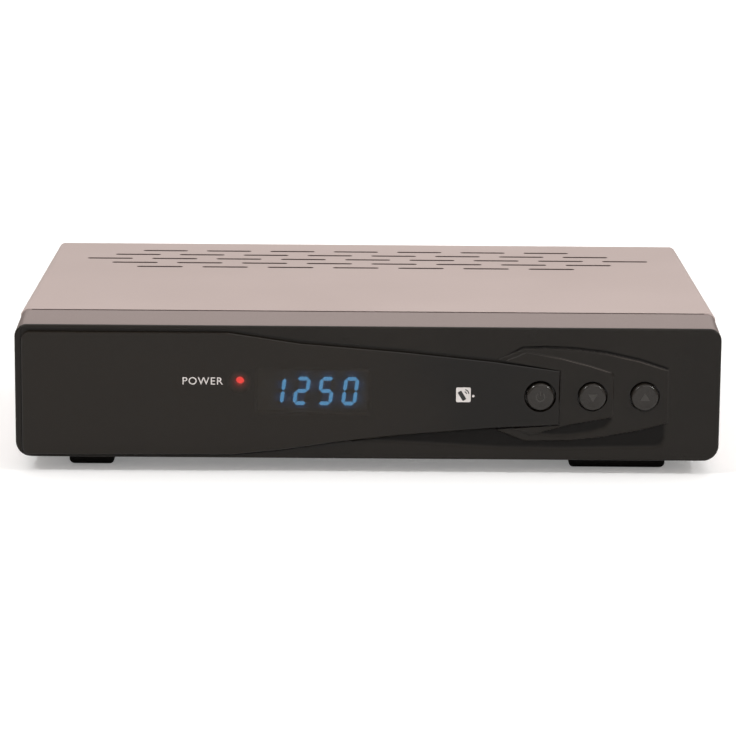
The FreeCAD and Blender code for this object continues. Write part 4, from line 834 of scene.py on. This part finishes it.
def words(name, text, centre, height, y, facing, finish, body="case"):
    """Printed words, centred at a place on a plane across Y, facing the front or the back."""
    curve = bpy.data.curves.new(name, "FONT")
    curve.body = text
    curve.align_x = "CENTER"
    holder = bpy.data.objects.new(name, curve)
    flat = bpy.data.meshes.new_from_object(holder)
    bpy.data.objects.remove(holder)
    points = np.empty(len(flat.vertices) * 3)
    flat.vertices.foreach_get("co", points)
    points = points.reshape(-1, 3) * (height / 0.73)
    across, up = centre[0] - facing * points[:, 0], centre[1] + points[:, 1]
    placed = np.column_stack([across, np.full(len(points), y), up])
    return piece(name, placed, [tuple(face.vertices) for face in flat.polygons], finish, body)


def make_back_print():
    """Plain names over the sockets, on the rear wall, the ring on the rocker and the words over it."""
    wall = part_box("bottom_chassis")[1].y + 0.02 * MM
    names = (("lnb_in_socket", "LNB IN", 8.0), ("lnb_out_socket", "LNB OUT", 8.0),
             ("scart_socket", "TV", 9.6), ("hdmi_shell", "VIDEO OUT", 5.2),
             ("usb_shell", "USB", 5.2), ("audio_jack_sleeve", "DIGITAL AUDIO", 7.0))
    for node_name, text, rise in names:
        low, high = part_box(node_name)
        centre = ((low.x + high.x) / 2, (low.z + high.z) / 2 + rise * MM)
        words(f"print_{node_name}", text, centre, 1.9 * MM, wall, 1.0, PRINT_DARK)
    low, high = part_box("mains_rocker")
    x, z = (low.x + high.x) / 2, (low.z + high.z) / 2
    ring = [(math.cos(a) * 1.3, math.sin(a) * 1.3) for a in np.linspace(0.0, 2.0 * math.pi, 25)]
    ring += [(math.cos(a) * 0.95, math.sin(a) * 0.95) for a in np.linspace(2.0 * math.pi, 0.0, 25)]
    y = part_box("rocker_housing")[1].y - 0.28 * MM
    plates("rocker_ring", [ring], y, y - 0.2 * MM, PRINT_WHITE, "rocker", (x, z - 3.6 * MM))
    words("print_off_on", "ON / OFF", (x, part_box("rocker_housing")[1].z + 1.2 * MM), 1.9 * MM, wall, 1.0,
          PRINT_DARK)


# Stage

def make_camera():
    """Camera where the photograph was taken from, with the same turn and field."""
    pitch, yaw, roll = (math.radians(a) for a in (PITCH, YAW, ROLL))
    ahead = Vector((math.sin(yaw) * math.cos(pitch), math.cos(yaw) * math.cos(pitch), -math.sin(pitch)))
    right = Vector((math.cos(yaw), -math.sin(yaw), 0.0))
    up = right.cross(ahead)
    side = right * math.cos(roll) + up * math.sin(roll)
    top = up * math.cos(roll) - right * math.sin(roll)
    lens = bpy.data.cameras.new("camera")
    lens.lens = LENS_MM
    lens.sensor_width = SENSOR_MM
    camera = bpy.data.objects.new("camera", lens)
    turn = Matrix((side, top, -ahead)).transposed()
    camera.matrix_world = Matrix.Translation(EYE) @ turn.to_4x4()
    bpy.context.scene.collection.objects.link(camera)
    bpy.context.scene.camera = camera


def make_floor():
    """Wide pale floor that keeps the shadow and reads white to the eye."""
    size = 30.0
    mesh = bpy.data.meshes.new("floor")
    corners = [(-size, -size, 0), (size, -size, 0), (size, size, 0), (-size, size, 0)]
    mesh.from_pydata(corners, [], [(0, 1, 2, 3)])
    floor = bpy.data.objects.new("floor", mesh)
    bpy.context.scene.collection.objects.link(floor)
    paint = Paint("floor", roughness=0.9, specular_ior_level=0.1)
    paint.set("Base Color", (0.84, 0.84, 0.84, 1.0))
    seen = paint.node("ShaderNodeLightPath")
    eye = Signal(paint, seen.outputs["Is Camera Ray"])
    paint.shader.inputs["Emission Color"].default_value = (1.0, 1.0, 1.0, 1.0)
    far = paint.axis("Y").step(0.15, 1.2)
    paint.feed(paint.shader.inputs["Emission Strength"], eye * (far * 0.5 + 0.21))
    mesh.materials.append(paint.material)


def make_light():
    """Soft studio: a pale world, a wide lamp overhead and a weaker one in front."""
    world = bpy.data.worlds.new("studio")
    bpy.context.scene.world = world
    world.use_nodes = True
    tree = world.node_tree
    back = tree.nodes["Background"]
    back.inputs["Color"].default_value = (1.0, 0.950, 0.905, 1.0)
    path = tree.nodes.new("ShaderNodeLightPath")
    brighter = tree.nodes.new("ShaderNodeMath")
    brighter.operation = "MULTIPLY_ADD"
    brighter.inputs[1].default_value = 0.65
    brighter.inputs[2].default_value = 0.50
    tree.links.new(path.outputs["Is Camera Ray"], brighter.inputs[0])
    tree.links.new(brighter.outputs[0], back.inputs["Strength"])
    for name, place, size, power in (("overhead", (0.15, 0.35, 1.6), (2.4, 1.6), 14.5),
                                     ("front", (0.5, -2.2, 1.3), (1.4, 1.0), 9.0),
                                     ("right strip", (1.15, -0.66, 1.03), (0.16, 0.16), 7.0),
                                     ("left strip", (-0.80, -0.80, 1.13), (0.16, 0.16), 7.0)):
        lamp = bpy.data.lights.new(name, "AREA")
        lamp.shape = "RECTANGLE"
        lamp.size, lamp.size_y = size
        lamp.energy = power
        holder = bpy.data.objects.new(name, lamp)
        holder.location = place
        holder.rotation_euler = (Vector((0, 0, 0)) - Vector(place)).to_track_quat("-Z", "Y").to_euler()
        bpy.context.scene.collection.objects.link(holder)


dress_nodes()
make_camera()
make_floor()
make_light()
make_leaves()
make_display()
make_lamp()
make_buttons()
make_word()
make_sensor_mark()
make_threaded_sockets()
make_screws()
make_back_print()
bpy.context.scene.view_settings.view_transform = "Standard"
